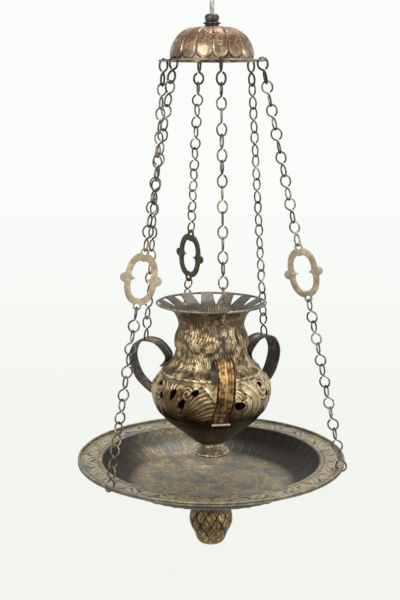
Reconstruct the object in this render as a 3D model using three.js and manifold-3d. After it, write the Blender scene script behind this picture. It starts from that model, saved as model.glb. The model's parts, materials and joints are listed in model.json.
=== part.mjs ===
// Hanging sanctuary lamp of tarnished silvered brass, in millimetres, +Z up.
// The origin is the point inside the top of the hanging ring where a hook bears.
// A fluted canopy carries six jack chains: three to a wide dish, three to a pierced vase.
import * as THREE from 'three';
import { mergeVertices } from 'three/addons/utils/BufferGeometryUtils.js';
import Module from 'manifold-3d';

const wasm = await Module();
wasm.setup();

// Clearances
const SEAT_GAP = 0.3;
const OUTER_CHAIN_PLAY = 0.7;
const INNER_CHAIN_PLAY = 0.7;
const HOLE_CLEARANCE = 1.3;
const LINK_BITE = 0.35;

// Hanging ring and stem
const RING_INNER_R = 11;
const RING_WIRE = 3.2;
const STEM_R = 2.2;
const STEM_EYE_INNER_R = 3.8;
const STEM_EYE_WIRE = 3;
const STEM_FREE_LENGTH = 24;
const STEM_TAIL = 3;

// Knob and the collar under it, with its sharp edge
const KNOB_R = 7.2;
const KNOB_HEIGHT = 7.4;
const COLLAR_R = 8.8;
const COLLAR_FOOT_R = 6.2;
const COLLAR_HEIGHT = 4.6;

// Canopy
const DOME_R = 41;
const DOME_HEIGHT = 33;
const DOME_TOP_FLAT_R = 9.5;
const CANOPY_WALL = 1;
const FLANGE_WIDTH = 12;
const FLANGE_THICKNESS = 1;
const FLUTE_COUNT = 16;
const FLUTE_DEPTH = 1.8;

// Washer and nut under the canopy
const WASHER_R = 7;
const WASHER_THICKNESS = 1.2;
const NUT_ACROSS_CORNERS_R = 5;
const NUT_HEIGHT = 4;

// Chains of figure-eight wire links, whose two loops stand square to each other
const LINK_WIRE = 1.8;
const TOP_LINK_WIRE = 2.2;
const OUTER_LINK_WIDTH = 12.2;
const OUTER_UPPER_PITCH = 23.3;
const OUTER_LOWER_PITCH = 22.5;
const OUTER_UPPER_LINKS = 8;
const OUTER_LOWER_LINKS = 8;
const OUTER_FIRST_AZIMUTH = -46;
const INNER_LINK_WIDTH = 10.8;
const INNER_LINK_PITCH = 24.3;
const INNER_LINKS = 12;
const INNER_FIRST_AZIMUTH = -111;
const CHAIN_COUNT = 3;

// Cast openwork plaques in the outer chains
const PLAQUE_HEIGHT = 49;
const PLAQUE_WIDTH = 32;
const PLAQUE_BAND = 5.9;
const PLAQUE_END_BAND = 6.5;
const PLAQUE_THICKNESS = 2.6;
const PLAQUE_CUSP = 4.8;
const PLAQUE_KNOB_R = 4.5;
const PLAQUE_EYE_HOLE_R = 2.5;
const PLAQUE_EYE_BAND = 1.9;
const PLAQUE_TWISTS = [-29, -12, 31];

// Dish
const DISH_R = 140;
const DISH_RIM_WIDTH = 26;
const DISH_WALL_DEPTH = 24;
const DISH_FLOOR_R = 90;
const DISH_DEPTH = 30;
const DISH_THICKNESS = 1.3;
const DISH_BEAD_WIRE = 2.4;

// Vase: radii from the rim down, and the height of each zone between them
const VASE_WALL = 1.3;
const VASE_RIM_WIRE = 2.4;
const VASE_RIM_R = 56;
const VASE_FLARE_HEIGHT = 22;
const VASE_THROAT_R = 33;
const VASE_NECK_HEIGHT = 29;
const VASE_WAIST_R = 36.5;
const VASE_SHOULDER_HEIGHT = 17;
const VASE_SHOULDER_R = 49;
const VASE_SKIRT_HEIGHT = 4;
const VASE_SEAM_R = 52.6;
const VASE_BELLY_HEIGHT = 22;
const VASE_BELLY_R = 62;
const VASE_BOWL_HEIGHT = 28;
const VASE_BOWL_R = 46.5;
const VASE_CUP_HEIGHT = 14;
const VASE_CUP_R = 29;
const VASE_BASE_HEIGHT = 11;
const VASE_FLOOR_R = 17;
const RIM_OPENING_COUNT = 14;
const RIM_OPENING_WIDTH = 13;
const RIM_OPENING_DEPTH = 13;

// Openings in the belly, the same over each third of a turn: degrees from the handle, drop below
// the seam, width, height, and lean in degrees
const BELLY_OPENINGS = [
  [18, 22.5, 13, 9, -10],
  [48, 6, 7, 5, 0],
  [56, 16.5, 6, 7, 0],
  [55, 34.5, 5, 9, 0],
  [-38, 21, 7, 13, -24],
  [-49, 12.5, 6, 12, -24],
  [-25, 9, 8, 6, 20],
];

// Foot of the vase
const FOOT_NECK_R = 12;
const FOOT_R = 19.4;
const FOOT_HEIGHT = 14;
const FOOT_WALL = 1.4;

// Strap handles
const STRAP_WIDTH = 19;
const STRAP_THICKNESS = 2;
const STRAP_CHANNEL = 0.6;
const HANDLE_CREST_R = 74;
const HANDLE_CREST_DEPTH = 44;
const HANDLE_REACH_R = 89;
const HANDLE_REACH_DEPTH = 64;
const SHOULDER_RIVET_RISE = 2.6;
const BELLY_RIVET_DROP = 8;
const BELLY_RIVET_SPACING = 6.5;
const STRAP_TAB = 2.5;
const STRAP_STAND_OFF = 0.3;
const HANDLE_HOLE_CLEARANCE = 0.9;
const RIVET_R = 1.2;
const RIVET_HEAD_R = 2.4;
const RIVET_HEAD_HEIGHT = 1.2;

// Bell pendant under the dish
const PENDANT_COLLAR_R = 15;
const PENDANT_COLLAR_HEIGHT = 16;
const PENDANT_SPIGOT_R = 11;
const PENDANT_SPIGOT_HEIGHT = 8;
const PENDANT_SHOULDER_R = 23;
const PENDANT_SHOULDER_HEIGHT = 22;
const PENDANT_WAIST_R = 17.5;
const PENDANT_WAIST_HEIGHT = 14;
const PENDANT_TIP_HEIGHT = 13;
const PENDANT_WALL = 1.6;
const CENTRE_RIVET_R = 2.5;
const CENTRE_RIVET_HEAD_R = 6;
const CENTRE_RIVET_HEAD_HEIGHT = 2;

// Facets
const WIRE_SIDES = 4;
const LOOP_CORNER = 30;
const RING_STEPS = 24;
const TURN_STEPS = 40;
const VASE_STEPS = 28;
const SMALL_TURN_STEPS = 12;
const RIVET_STEPS = 6;
const HOLE_STEPS = 8;
const DOME_STEPS = 4;

const radians = THREE.MathUtils.degToRad;
const { lerp } = THREE.MathUtils;

// Finishes: colour, roughness and metalness
const FINISHES = {
  gold: [0xa8845a, 0.45, 0.85],
  paleBrass: [0xb3a384, 0.55, 0.75],
  darkBrass: [0x5c4c38, 0.55, 0.8],
  tarnish: [0x7d7666, 0.5, 0.8],
  wire: [0x5f584c, 0.5, 0.8],
  darkWire: [0x423c33, 0.55, 0.8],
};

function finish(name) {
  const [color, roughness, metalness] = FINISHES[name];
  return new THREE.MeshStandardMaterial({ color, roughness, metalness });
}

// Solids
function signedVolume(position, index) {
  let volume = 0;
  const corner = [0, 1, 2].map(() => new THREE.Vector3());
  for (let i = 0; i < index.length; i += 3) {
    corner.forEach((c, k) => c.fromBufferAttribute(position, index[i + k]));
    volume += corner[0].dot(corner[1].clone().cross(corner[2])) / 6;
  }
  return volume;
}

function closedGeometry(source) {
  const bare = new THREE.BufferGeometry();
  bare.setAttribute('position', source.getAttribute('position').clone());
  if (source.index) {
    bare.setIndex(source.index.clone());
  }
  const merged = mergeVertices(bare, 1e-3);
  const position = merged.getAttribute('position');
  const corners = Array.from(merged.index.array);
  const kept = [];
  for (let i = 0; i < corners.length; i += 3) {
    const [a, b, c] = corners.slice(i, i + 3);
    if (a !== b && b !== c && c !== a) {
      kept.push(a, b, c);
    }
  }
  if (signedVolume(position, kept) < 0) {
    for (let i = 0; i < kept.length; i += 3) {
      [kept[i + 1], kept[i + 2]] = [kept[i + 2], kept[i + 1]];
    }
  }
  merged.setIndex(kept);
  return merged;
}

function toSolid(geometry) {
  const closed = closedGeometry(geometry);
  return new wasm.Manifold(new wasm.Mesh({
    numProp: 3,
    vertProperties: new Float32Array(closed.getAttribute('position').array),
    triVerts: new Uint32Array(closed.index.array),
  }));
}

function fromSolid(solid) {
  const mesh = solid.getMesh();
  const geometry = new THREE.BufferGeometry();
  geometry.setAttribute('position', new THREE.BufferAttribute(new Float32Array(mesh.vertProperties), 3));
  geometry.setIndex(Array.from(mesh.triVerts));
  return geometry;
}

function join(geometries) {
  return fromSolid(geometries.map(toSolid).reduce((whole, next) => whole.add(next)));
}

function cut(geometry, tools) {
  return fromSolid(tools.map(toSolid).reduce((left, tool) => left.subtract(tool), toSolid(geometry)));
}

// A closed outline of [radius, height] pairs turned about the Z axis
function turned(outline, steps = TURN_STEPS) {
  const points = outline.map(([r, z]) => new THREE.Vector2(Math.max(r, 0), z));
  const onAxis = points[0].x === 0 && points.at(-1).x === 0;
  if (!onAxis) {
    points.push(points[0].clone());
  }
  return closedGeometry(new THREE.LatheGeometry(points, steps).rotateX(Math.PI / 2));
}

function smooth(points, steps) {
  const curve = new THREE.SplineCurve(points.map(([r, z]) => new THREE.Vector2(r, z)));
  return curve.getPoints(steps).map((p) => [p.x, p.y]);
}

// The same line moved sideways by a distance, to the left of its direction
function offset(line, distance) {
  return line.map(([r, z], i) => {
    const [r0, z0] = line[Math.max(i - 1, 0)];
    const [r1, z1] = line[Math.min(i + 1, line.length - 1)];
    const length = Math.hypot(r1 - r0, z1 - z0);
    return [r - distance * (z1 - z0) / length, z + distance * (r1 - r0) / length];
  });
}

// A wall on the left of a line, cut off level at both ends
function shell(line, wall) {
  const inner = offset(line, wall);
  inner[0][1] = line[0][1];
  inner.at(-1)[1] = line.at(-1)[1];
  return [...line, ...inner.reverse()];
}

function roundWire(diameter, sides = WIRE_SIDES) {
  const shape = new THREE.Shape();
  for (let i = 0; i < sides; i += 1) {
    const angle = 2 * Math.PI * i / sides;
    const [x, y] = [diameter / 2 * Math.cos(angle), diameter / 2 * Math.sin(angle)];
    if (i) {
      shape.lineTo(x, y);
    } else {
      shape.moveTo(x, y);
    }
  }
  return shape;
}

// A section drawn along points: a section stands at each point, and its X side follows a given direction
class GuidedCurve extends THREE.CatmullRomCurve3 {
  constructor(points, sides) {
    super(points);
    this.sides = sides;
  }

  getUtoTmapping(u) {
    return u;
  }

  computeFrenetFrames() {
    const tangents = this.points.map((_, i) => this.getTangent(i / (this.points.length - 1)));
    const normals = tangents.map((t, i) => this.sides[i].clone().projectOnPlane(t).normalize());
    const binormals = tangents.map((t, i) => t.clone().cross(normals[i]));
    return { tangents, normals, binormals };
  }
}

function swept(points, sides, section) {
  const extrudePath = new GuidedCurve(points, sides);
  return closedGeometry(new THREE.ExtrudeGeometry(section, { steps: points.length - 1, extrudePath }));
}

function rod(radius, bottom, top, steps = SMALL_TURN_STEPS) {
  return new THREE.CylinderGeometry(radius, radius, top - bottom, steps)
    .rotateX(Math.PI / 2)
    .translate(0, 0, (top + bottom) / 2);
}

function wireRing(radius, wire, steps, sides) {
  return new THREE.TorusGeometry(radius, wire / 2, sides, steps);
}

// Named meshes
const lamp = new THREE.Group();

function place(name, geometry, finishName, parent) {
  const mesh = new THREE.Mesh(geometry, finish(finishName));
  mesh.name = name;
  parent.add(mesh);
  return mesh;
}

// A group turned so that its +X points away from the axis, at an azimuth counted from the front (-Y)
function spoke(azimuth, parent) {
  const group = new THREE.Group();
  group.rotation.z = radians(azimuth - 90);
  parent.add(group);
  return group;
}

// Hanging ring, stem and knob
const ringR = RING_INNER_R + RING_WIRE / 2;
const ringBottomZ = RING_WIRE / 2 - 2 * ringR;
const stemEyeR = STEM_EYE_INNER_R + STEM_EYE_WIRE / 2;
const stemEyeTopZ = ringBottomZ + RING_WIRE / 2 + SEAT_GAP + STEM_EYE_WIRE / 2;
const stemEyeZ = stemEyeTopZ - stemEyeR;
const stemTopZ = stemEyeZ - stemEyeR;
const knobTopZ = stemTopZ - STEM_FREE_LENGTH;
const knobZ = knobTopZ - KNOB_HEIGHT;
const collarZ = knobZ - SEAT_GAP - COLLAR_HEIGHT;
const domeTopZ = collarZ - SEAT_GAP;
const canopyZ = domeTopZ - DOME_HEIGHT;
const washerZ = domeTopZ - CANOPY_WALL - SEAT_GAP - WASHER_THICKNESS;
const nutZ = washerZ - SEAT_GAP - NUT_HEIGHT;

const ring = place('hanging_ring', wireRing(ringR, RING_WIRE, RING_STEPS, 6), 'wire', lamp);
ring.rotation.x = Math.PI / 2;
ring.position.z = RING_WIRE / 2 - ringR;

const stemEye = wireRing(stemEyeR, STEM_EYE_WIRE, 16, 6)
  .rotateY(Math.PI / 2)
  .translate(0, 0, stemEyeZ);
const stemRod = rod(STEM_R, nutZ - STEM_TAIL, stemTopZ + STEM_EYE_WIRE / 4);
place('stem', join([stemRod, stemEye]), 'wire', lamp);

function bored(outline, bore) {
  return [[bore, outline.at(-1)[1]], [bore, outline[0][1]], ...outline];
}

const stemBore = STEM_R + SEAT_GAP;
const knobOutline = [3, 2, 1, 0, -1].map((k) => {
  const angle = Math.asin(k / 3 * 0.9);
  return [KNOB_R * Math.cos(angle), KNOB_HEIGHT * (k + 1) / 4];
});
place('stem_knob', turned(bored(knobOutline, stemBore), SMALL_TURN_STEPS), 'gold', lamp).position.z = knobZ;

const collarOutline = [
  [knobOutline.at(-1)[0], COLLAR_HEIGHT],
  [COLLAR_R, COLLAR_HEIGHT * 0.8],
  [COLLAR_R, COLLAR_HEIGHT * 0.6],
  [KNOB_R, COLLAR_HEIGHT * 0.5],
  [COLLAR_FOOT_R, 0],
];
place('knob_collar', turned(bored(collarOutline, stemBore), 18), 'gold', lamp).position.z = collarZ;

// Chain lengths, along each chain from the middle of its top wire
function runLength(count, pitch, wire) {
  return pitch * count + wire - LINK_BITE;
}

// Where a link's top wire lies above the bottom wire that carries it
function seat(wireAbove, wireBelow, gap = SEAT_GAP) {
  return (wireAbove + wireBelow) / 2 + gap;
}

const plaqueEyeZ = PLAQUE_HEIGHT / 2 + PLAQUE_EYE_HOLE_R - PLAQUE_EYE_BAND / 2;
const outerTopLength = OUTER_UPPER_PITCH + TOP_LINK_WIRE - SEAT_GAP;
const outerUpperZ = seat(LINK_WIRE, TOP_LINK_WIRE) - outerTopLength;
const outerUpperEndZ = outerUpperZ - runLength(OUTER_UPPER_LINKS - 1, OUTER_UPPER_PITCH, LINK_WIRE);
const plaqueZ = outerUpperEndZ + LINK_WIRE / 2 + SEAT_GAP - PLAQUE_EYE_HOLE_R - plaqueEyeZ;
const outerLowerZ = plaqueZ - plaqueEyeZ - PLAQUE_EYE_HOLE_R + LINK_WIRE / 2 + SEAT_GAP;
const outerLowerEndZ = outerLowerZ - runLength(OUTER_LOWER_LINKS - 1, OUTER_LOWER_PITCH, LINK_WIRE);
const outerEndZ = outerLowerEndZ + seat(LINK_WIRE, LINK_WIRE, OUTER_CHAIN_PLAY);
const outerEndLength = OUTER_LOWER_PITCH + LINK_WIRE;
const outerChainLength = outerEndLength - outerEndZ;

const innerTopLength = INNER_LINK_PITCH + TOP_LINK_WIRE - SEAT_GAP;
const innerRunZ = seat(LINK_WIRE, TOP_LINK_WIRE) - innerTopLength;
const innerRunEndZ = innerRunZ - runLength(INNER_LINKS - 2, INNER_LINK_PITCH, LINK_WIRE);
const innerEndZ = innerRunEndZ + seat(LINK_WIRE, LINK_WIRE, INNER_CHAIN_PLAY);
const innerEndLength = INNER_LINK_PITCH + LINK_WIRE;
const innerChainLength = innerEndLength - innerEndZ;

// Canopy: the dome rises from its flange, and its flutes fade out at the flange and the top
function domeLine(radius, height, flat, steps) {
  const line = [];
  for (let i = steps; i >= 0; i -= 1) {
    const angle = Math.PI / 2 * i / steps;
    line.push([flat + (radius - flat) * Math.cos(angle) ** 0.8, height * Math.sin(angle) ** 0.8]);
  }
  return line;
}

const flangeR = DOME_R + FLANGE_WIDTH;
const domeInnerLine = domeLine(DOME_R - CANOPY_WALL, DOME_HEIGHT - CANOPY_WALL, DOME_TOP_FLAT_R, DOME_STEPS);
const canopyOutline = [
  [stemBore, DOME_HEIGHT],
  ...domeLine(DOME_R, DOME_HEIGHT, DOME_TOP_FLAT_R, DOME_STEPS).slice(0, -1),
  [DOME_R, FLANGE_THICKNESS],
  [flangeR, FLANGE_THICKNESS],
  [flangeR, 0],
  ...domeInnerLine.reverse(),
  [stemBore, DOME_HEIGHT - CANOPY_WALL],
];

function fluted(geometry, count, depth, height) {
  const position = geometry.getAttribute('position');
  for (let i = 0; i < position.count; i += 1) {
    const [x, y, z] = [position.getX(i), position.getY(i), position.getZ(i)];
    const r = Math.hypot(x, y);
    const rise = THREE.MathUtils.clamp(z / height, 0, 1);
    const swell = depth * Math.abs(Math.sin(count * Math.atan2(y, x) / 2)) * Math.sqrt(4 * rise * (1 - rise));
    const grown = r < DOME_TOP_FLAT_R || r > DOME_R + SEAT_GAP ? 1 : 1 + (swell - depth / 2) / r;
    position.setXY(i, x * grown, y * grown);
  }
  return geometry;
}

// How far a leaning loop's end must lie off a plate, so that no corner of it touches
function leanSeat(width, wire, lean) {
  return SEAT_GAP + wire / 2 + (width - wire) / 2 * Math.sin(radians(LOOP_CORNER)) * Math.sin(lean);
}

// Where a loop hooks over a plate's edge and through a hole behind it. The loop's end bears on the
// plate, and the loop leans by the chain's slope: side is 1 where it hangs down and -1 where it stands up.
function edgeHook(edgeR, width, wire, plate, lean, side) {
  const loopR = (width - wire) / 2;
  const depth = leanSeat(width, wire, lean) + plate / 2;
  const corner = radians(LOOP_CORNER);
  const crossing = [-1, 1].map((way) => {
    const end = new THREE.Vector2(way * Math.sin(corner), 0);
    const flank = new THREE.Vector2(way, -Math.cos(corner));
    [end, flank].forEach((v) => v.multiplyScalar(loopR).rotateAround(new THREE.Vector2(), lean));
    const share = (end.y + depth) / (end.y - flank.y);
    return end.x + share * (flank.x - end.x);
  });
  const [inner, outer] = side > 0 ? crossing : [-crossing[1], -crossing[0]];
  const flankAngle = Math.PI / 2 - corner - lean;
  const clear = SEAT_GAP + wire / 2 / Math.sin(flankAngle) + plate / 2 / Math.tan(flankAngle);
  const bearingR = edgeR + clear - outer;
  return { bearingR, holeR: bearingR + inner };
}

function wireHole(radius, wire) {
  return rod(wire / 2 + HOLE_CLEARANCE, -2 * wire, 2 * wire, HOLE_STEPS).translate(radius, 0, 0);
}

const thirds = [...Array(CHAIN_COUNT).keys()].map((i) => 360 * i / CHAIN_COUNT);
const outerAzimuths = thirds.map((turn) => OUTER_FIRST_AZIMUTH + turn);
const innerAzimuths = thirds.map((turn) => INNER_FIRST_AZIMUTH + turn);
const outerLean = Math.asin((DISH_R - flangeR) / outerChainLength);
const innerLean = Math.asin((HANDLE_CREST_R - flangeR) / innerChainLength);
const outerTopHook = edgeHook(flangeR, OUTER_LINK_WIDTH, TOP_LINK_WIRE, FLANGE_THICKNESS, outerLean, 1);
const innerTopHook = edgeHook(flangeR, INNER_LINK_WIDTH, TOP_LINK_WIRE, FLANGE_THICKNESS, innerLean, 1);

function around(azimuths, tool) {
  return azimuths.map((azimuth) => tool.clone().rotateZ(radians(azimuth - 90)));
}

const canopyHoles = [
  ...around(outerAzimuths, wireHole(outerTopHook.holeR, TOP_LINK_WIRE)),
  ...around(innerAzimuths, wireHole(innerTopHook.holeR, TOP_LINK_WIRE)),
];
const dome = fluted(turned(canopyOutline, FLUTE_COUNT * 3), FLUTE_COUNT, FLUTE_DEPTH, DOME_HEIGHT);
place('canopy', cut(dome, canopyHoles), 'gold', lamp).position.z = canopyZ;

const washerOutline = [[WASHER_R, WASHER_THICKNESS], [WASHER_R, 0]];
place('canopy_washer', turned(bored(washerOutline, stemBore), SMALL_TURN_STEPS), 'darkBrass', lamp)
  .position.z = washerZ;
const nutBlank = rod(NUT_ACROSS_CORNERS_R, 0, NUT_HEIGHT, 6);
const nut = cut(nutBlank, [rod(stemBore, -NUT_HEIGHT, 2 * NUT_HEIGHT)]);
place('canopy_nut', nut, 'darkBrass', lamp).position.z = nutZ;

// One link: a loop above and a loop below the neck, each in its own plane. Its wire's middle line runs
// from +length / 2 to -length / 2 along Z; each loop has a flat end to bear on, and one open corner.
function link(length, width, wire, topTwist, bottomTwist) {
  const loopR = (width - wire) / 2;
  const loopZ = length / 2 - loopR * Math.cos(radians(LOOP_CORNER));
  const turns = [150, 90, LOOP_CORNER, -LOOP_CORNER, -90];
  const along = (twist) => new THREE.Vector3(Math.cos(radians(twist)), Math.sin(radians(twist)), 0);
  const loop = (twist, side) => turns.map((turn) => along(twist)
    .multiplyScalar(loopR * Math.sin(radians(turn)))
    .setZ(side * (loopZ + loopR * Math.cos(radians(turn)))));
  const points = [...loop(topTwist, 1), new THREE.Vector3(), ...loop(bottomTwist, -1).reverse()];
  const sides = [topTwist, bottomTwist].map((twist) => turns.map(() => along(twist + 90)));
  const neckSide = sides[0][0].clone().add(sides[1][0]);
  return swept(points, [...sides[0], neckSide, ...sides[1]], roundWire(wire));
}

// Links that hang in one another, from z = 0 down; each bites a little into the last
function linkRun(count, pitch, width, wire, topTwist, twistStep) {
  const length = pitch + wire - LINK_BITE;
  const links = [];
  for (let i = 0; i < count; i += 1) {
    const twist = topTwist + twistStep * i;
    links.push(link(length, width, wire, twist, twist + 90).translate(0, 0, -pitch * i - length / 2));
  }
  return join(links);
}

// Plaque: a band round two lobes, pinched at the waist, with a knob at each side and an eye at each end
function plaqueOutline(width, height, pinch, tip) {
  const shape = new THREE.Shape();
  const steps = 20;
  for (let i = 0; i < steps; i += 1) {
    const angle = 2 * Math.PI * i / steps;
    const waist = pinch * Math.exp(-((Math.sin(angle) / 0.22) ** 2));
    const crest = tip * Math.exp(-((Math.cos(angle) / 0.22) ** 2));
    const x = (width / 2 - waist) * Math.sign(Math.cos(angle)) * Math.abs(Math.cos(angle)) ** 0.75;
    const y = (height / 2 - crest) * Math.sign(Math.sin(angle)) * Math.abs(Math.sin(angle)) ** 0.75;
    if (i) {
      shape.lineTo(x, y);
    } else {
      shape.moveTo(x, y);
    }
  }
  shape.closePath();
  return shape;
}

function plate(shape, thickness) {
  return new THREE.ExtrudeGeometry(shape, { depth: thickness, bevelEnabled: false, curveSegments: 6 })
    .translate(0, 0, -thickness / 2);
}

function plaque() {
  const outer = plaqueOutline(PLAQUE_WIDTH, PLAQUE_HEIGHT, PLAQUE_BAND / 4, 0);
  const inner = plaqueOutline(
    PLAQUE_WIDTH - 2 * PLAQUE_BAND, PLAQUE_HEIGHT - 2 * PLAQUE_END_BAND, PLAQUE_CUSP, PLAQUE_CUSP / 3,
  );
  const disc = (radius, x, y) => new THREE.CylinderGeometry(radius, radius, PLAQUE_THICKNESS, 10)
    .rotateX(Math.PI / 2)
    .translate(x, y, 0);
  const eyeR = PLAQUE_EYE_HOLE_R + PLAQUE_EYE_BAND;
  const knobX = PLAQUE_WIDTH / 2;
  const solid = join([
    plate(outer, PLAQUE_THICKNESS),
    disc(PLAQUE_KNOB_R, knobX, 0),
    disc(PLAQUE_KNOB_R, -knobX, 0),
    disc(eyeR, 0, plaqueEyeZ),
    disc(eyeR, 0, -plaqueEyeZ),
  ]);
  const hole = rod(PLAQUE_EYE_HOLE_R, -PLAQUE_THICKNESS, PLAQUE_THICKNESS, HOLE_STEPS);
  const holes = [plaqueEyeZ, -plaqueEyeZ].map((y) => hole.clone().translate(0, y, 0));
  const pierced = cut(solid, [plate(inner, 2 * PLAQUE_THICKNESS), ...holes]);
  return pierced.rotateX(Math.PI / 2);
}

// Outer chains: top link, upper run, plaque, lower run and the end link under the dish rim
const outerTopZ = FLANGE_THICKNESS + leanSeat(OUTER_LINK_WIDTH, TOP_LINK_WIRE, outerLean);
const dishHook = edgeHook(DISH_R, OUTER_LINK_WIDTH, LINK_WIRE, DISH_THICKNESS, outerLean, -1);
const outerReach = dishHook.bearingR - outerTopHook.bearingR;
const outerSlope = Math.asin(outerReach / outerChainLength);
const outerDrop = outerChainLength * Math.cos(outerSlope);

function hang(slope, radius, height, parent) {
  const group = new THREE.Group();
  group.position.set(radius, 0, height);
  group.rotation.y = -slope;
  parent.add(group);
  return group;
}

outerAzimuths.forEach((azimuth, i) => {
  const n = i + 1;
  const line = hang(outerSlope, outerTopHook.bearingR, canopyZ + outerTopZ, spoke(azimuth, lamp));
  const twist = PLAQUE_TWISTS[i];
  const topLink = link(outerTopLength, OUTER_LINK_WIDTH, TOP_LINK_WIRE, 0, 90);
  place(`outer_top_link_${n}`, topLink, 'darkWire', line).position.z = -outerTopLength / 2;
  const upperStep = twist / (OUTER_UPPER_LINKS - 2);
  const upper = linkRun(OUTER_UPPER_LINKS - 1, OUTER_UPPER_PITCH, OUTER_LINK_WIDTH, LINK_WIRE, 0, upperStep);
  place(`outer_upper_chain_${n}`, upper, 'wire', line).position.z = outerUpperZ;
  const plaqueMesh = place(`plaque_${n}`, plaque(), 'paleBrass', line);
  plaqueMesh.position.z = plaqueZ;
  plaqueMesh.rotation.z = radians(twist);
  const lowerStep = -twist / (OUTER_LOWER_LINKS - 2);
  const lower = linkRun(
    OUTER_LOWER_LINKS - 1, OUTER_LOWER_PITCH, OUTER_LINK_WIDTH, LINK_WIRE, 90 + twist, lowerStep,
  );
  place(`outer_lower_chain_${n}`, lower, 'wire', line).position.z = outerLowerZ;
  const endLink = link(outerEndLength, OUTER_LINK_WIDTH, LINK_WIRE, 90, 0);
  place(`dish_link_${n}`, endLink, 'wire', line).position.z = outerEndZ - outerEndLength / 2;
});

// Dish: its rim's underside rests on the end links
const dishBottomZ = canopyZ + outerTopZ - outerDrop + leanSeat(OUTER_LINK_WIDTH, LINK_WIRE, outerLean);
const dishTopZ = dishBottomZ + DISH_THICKNESS;
const dishWallR = DISH_R - DISH_RIM_WIDTH;
const dishLine = [
  [CENTRE_RIVET_R + SEAT_GAP, -DISH_DEPTH],
  [CENTRE_RIVET_HEAD_R * 2, -DISH_DEPTH],
  [DISH_FLOOR_R * 0.5, -DISH_DEPTH + (DISH_DEPTH - DISH_WALL_DEPTH) * 0.3],
  [DISH_FLOOR_R, -DISH_WALL_DEPTH],
  [DISH_FLOOR_R + (dishWallR - DISH_FLOOR_R) * 0.55, -DISH_WALL_DEPTH * 0.72],
  [DISH_FLOOR_R + (dishWallR - DISH_FLOOR_R) * 0.88, -DISH_WALL_DEPTH * 0.3],
  [dishWallR, 0],
  [DISH_R, 0],
];
const dishUnderLine = offset(dishLine, -DISH_THICKNESS);
dishUnderLine[0] = [dishLine[0][0], -DISH_DEPTH - DISH_THICKNESS];
const dishSolid = turned([...dishLine, ...dishUnderLine.reverse()]);
const dishHoles = around(outerAzimuths, wireHole(dishHook.holeR, LINK_WIRE));
place('dish', cut(dishSolid, dishHoles), 'tarnish', lamp).position.z = dishTopZ;

const beadR = DISH_R - DISH_BEAD_WIRE / 2;
place('dish_bead', wireRing(beadR, DISH_BEAD_WIRE, TURN_STEPS, 4), 'tarnish', lamp)
  .position.z = dishTopZ + DISH_BEAD_WIRE / 2 + SEAT_GAP;

// Centre rivet: its head lies in the dish, its peened end under the collar's top plate
const dishFloorZ = dishTopZ - DISH_DEPTH;
const collarTopZ = dishFloorZ - DISH_THICKNESS - SEAT_GAP;
const collarPlateBottomZ = collarTopZ - PENDANT_WALL;

function rivet(radius, headR, headHeight, grip, steps) {
  return turned([
    [0, headHeight],
    [headR * 0.6, headHeight * 0.85],
    [headR, 0],
    [radius, 0],
    [radius, -grip],
    [headR * 0.85, -grip],
    [headR * 0.5, -grip - headHeight * 0.8],
    [0, -grip - headHeight * 0.8],
  ], steps);
}

const centreGrip = dishFloorZ + SEAT_GAP - (collarPlateBottomZ - SEAT_GAP);
const centreRivet = rivet(
  CENTRE_RIVET_R, CENTRE_RIVET_HEAD_R, CENTRE_RIVET_HEAD_HEIGHT, centreGrip, SMALL_TURN_STEPS,
);
place('centre_rivet', centreRivet, 'tarnish', lamp).position.z = dishFloorZ + SEAT_GAP;

// Pendant: a collar whose spigot enters the mouth of a hollow bell
const collarSideLine = [
  [PENDANT_COLLAR_R, 0],
  [PENDANT_COLLAR_R * 0.9, -PENDANT_COLLAR_HEIGHT * 0.35],
  [PENDANT_COLLAR_R * 1.02, -PENDANT_COLLAR_HEIGHT * 0.75],
  [PENDANT_COLLAR_R * 1.05, -PENDANT_COLLAR_HEIGHT],
  [PENDANT_SPIGOT_R, -PENDANT_COLLAR_HEIGHT],
  [PENDANT_SPIGOT_R, -PENDANT_COLLAR_HEIGHT - PENDANT_SPIGOT_HEIGHT],
];
const collarInnerR = PENDANT_SPIGOT_R - PENDANT_WALL;
const pendantCollarOutline = [
  [CENTRE_RIVET_R + SEAT_GAP, 0],
  ...collarSideLine,
  [collarInnerR, -PENDANT_COLLAR_HEIGHT - PENDANT_SPIGOT_HEIGHT],
  [collarInnerR, -PENDANT_WALL],
  [CENTRE_RIVET_R + SEAT_GAP, -PENDANT_WALL],
];
place('pendant_collar', turned(pendantCollarOutline, 18), 'darkBrass', lamp).position.z = collarTopZ;

const bellMouthR = PENDANT_SPIGOT_R + SEAT_GAP;
const bellWaistDepth = PENDANT_SHOULDER_HEIGHT + PENDANT_WAIST_HEIGHT;
const bellDepth = bellWaistDepth + PENDANT_TIP_HEIGHT;
const bellTipDepth = bellDepth - PENDANT_TIP_HEIGHT / 4;
const bellOutline = [
  [bellMouthR, 0],
  ...smooth([
    [bellMouthR + PENDANT_WALL * 1.6, 0],
    [PENDANT_SHOULDER_R * 0.86, -PENDANT_SHOULDER_HEIGHT * 0.3],
    [PENDANT_SHOULDER_R, -PENDANT_SHOULDER_HEIGHT],
    [PENDANT_WAIST_R, -bellWaistDepth],
    [PENDANT_WAIST_R * 0.72, -bellTipDepth],
    [0, -bellDepth],
  ], 7),
  [0, PENDANT_WALL - bellDepth],
  [PENDANT_WAIST_R * 0.6, PENDANT_WALL - bellTipDepth],
  [PENDANT_WAIST_R - PENDANT_WALL, -bellWaistDepth],
  [PENDANT_SHOULDER_R - PENDANT_WALL, -PENDANT_SHOULDER_HEIGHT],
  [bellMouthR, -PENDANT_SPIGOT_HEIGHT],
];
place('pendant_bell', turned(bellOutline, 18), 'gold', lamp)
  .position.z = collarTopZ - PENDANT_COLLAR_HEIGHT - SEAT_GAP;

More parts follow.
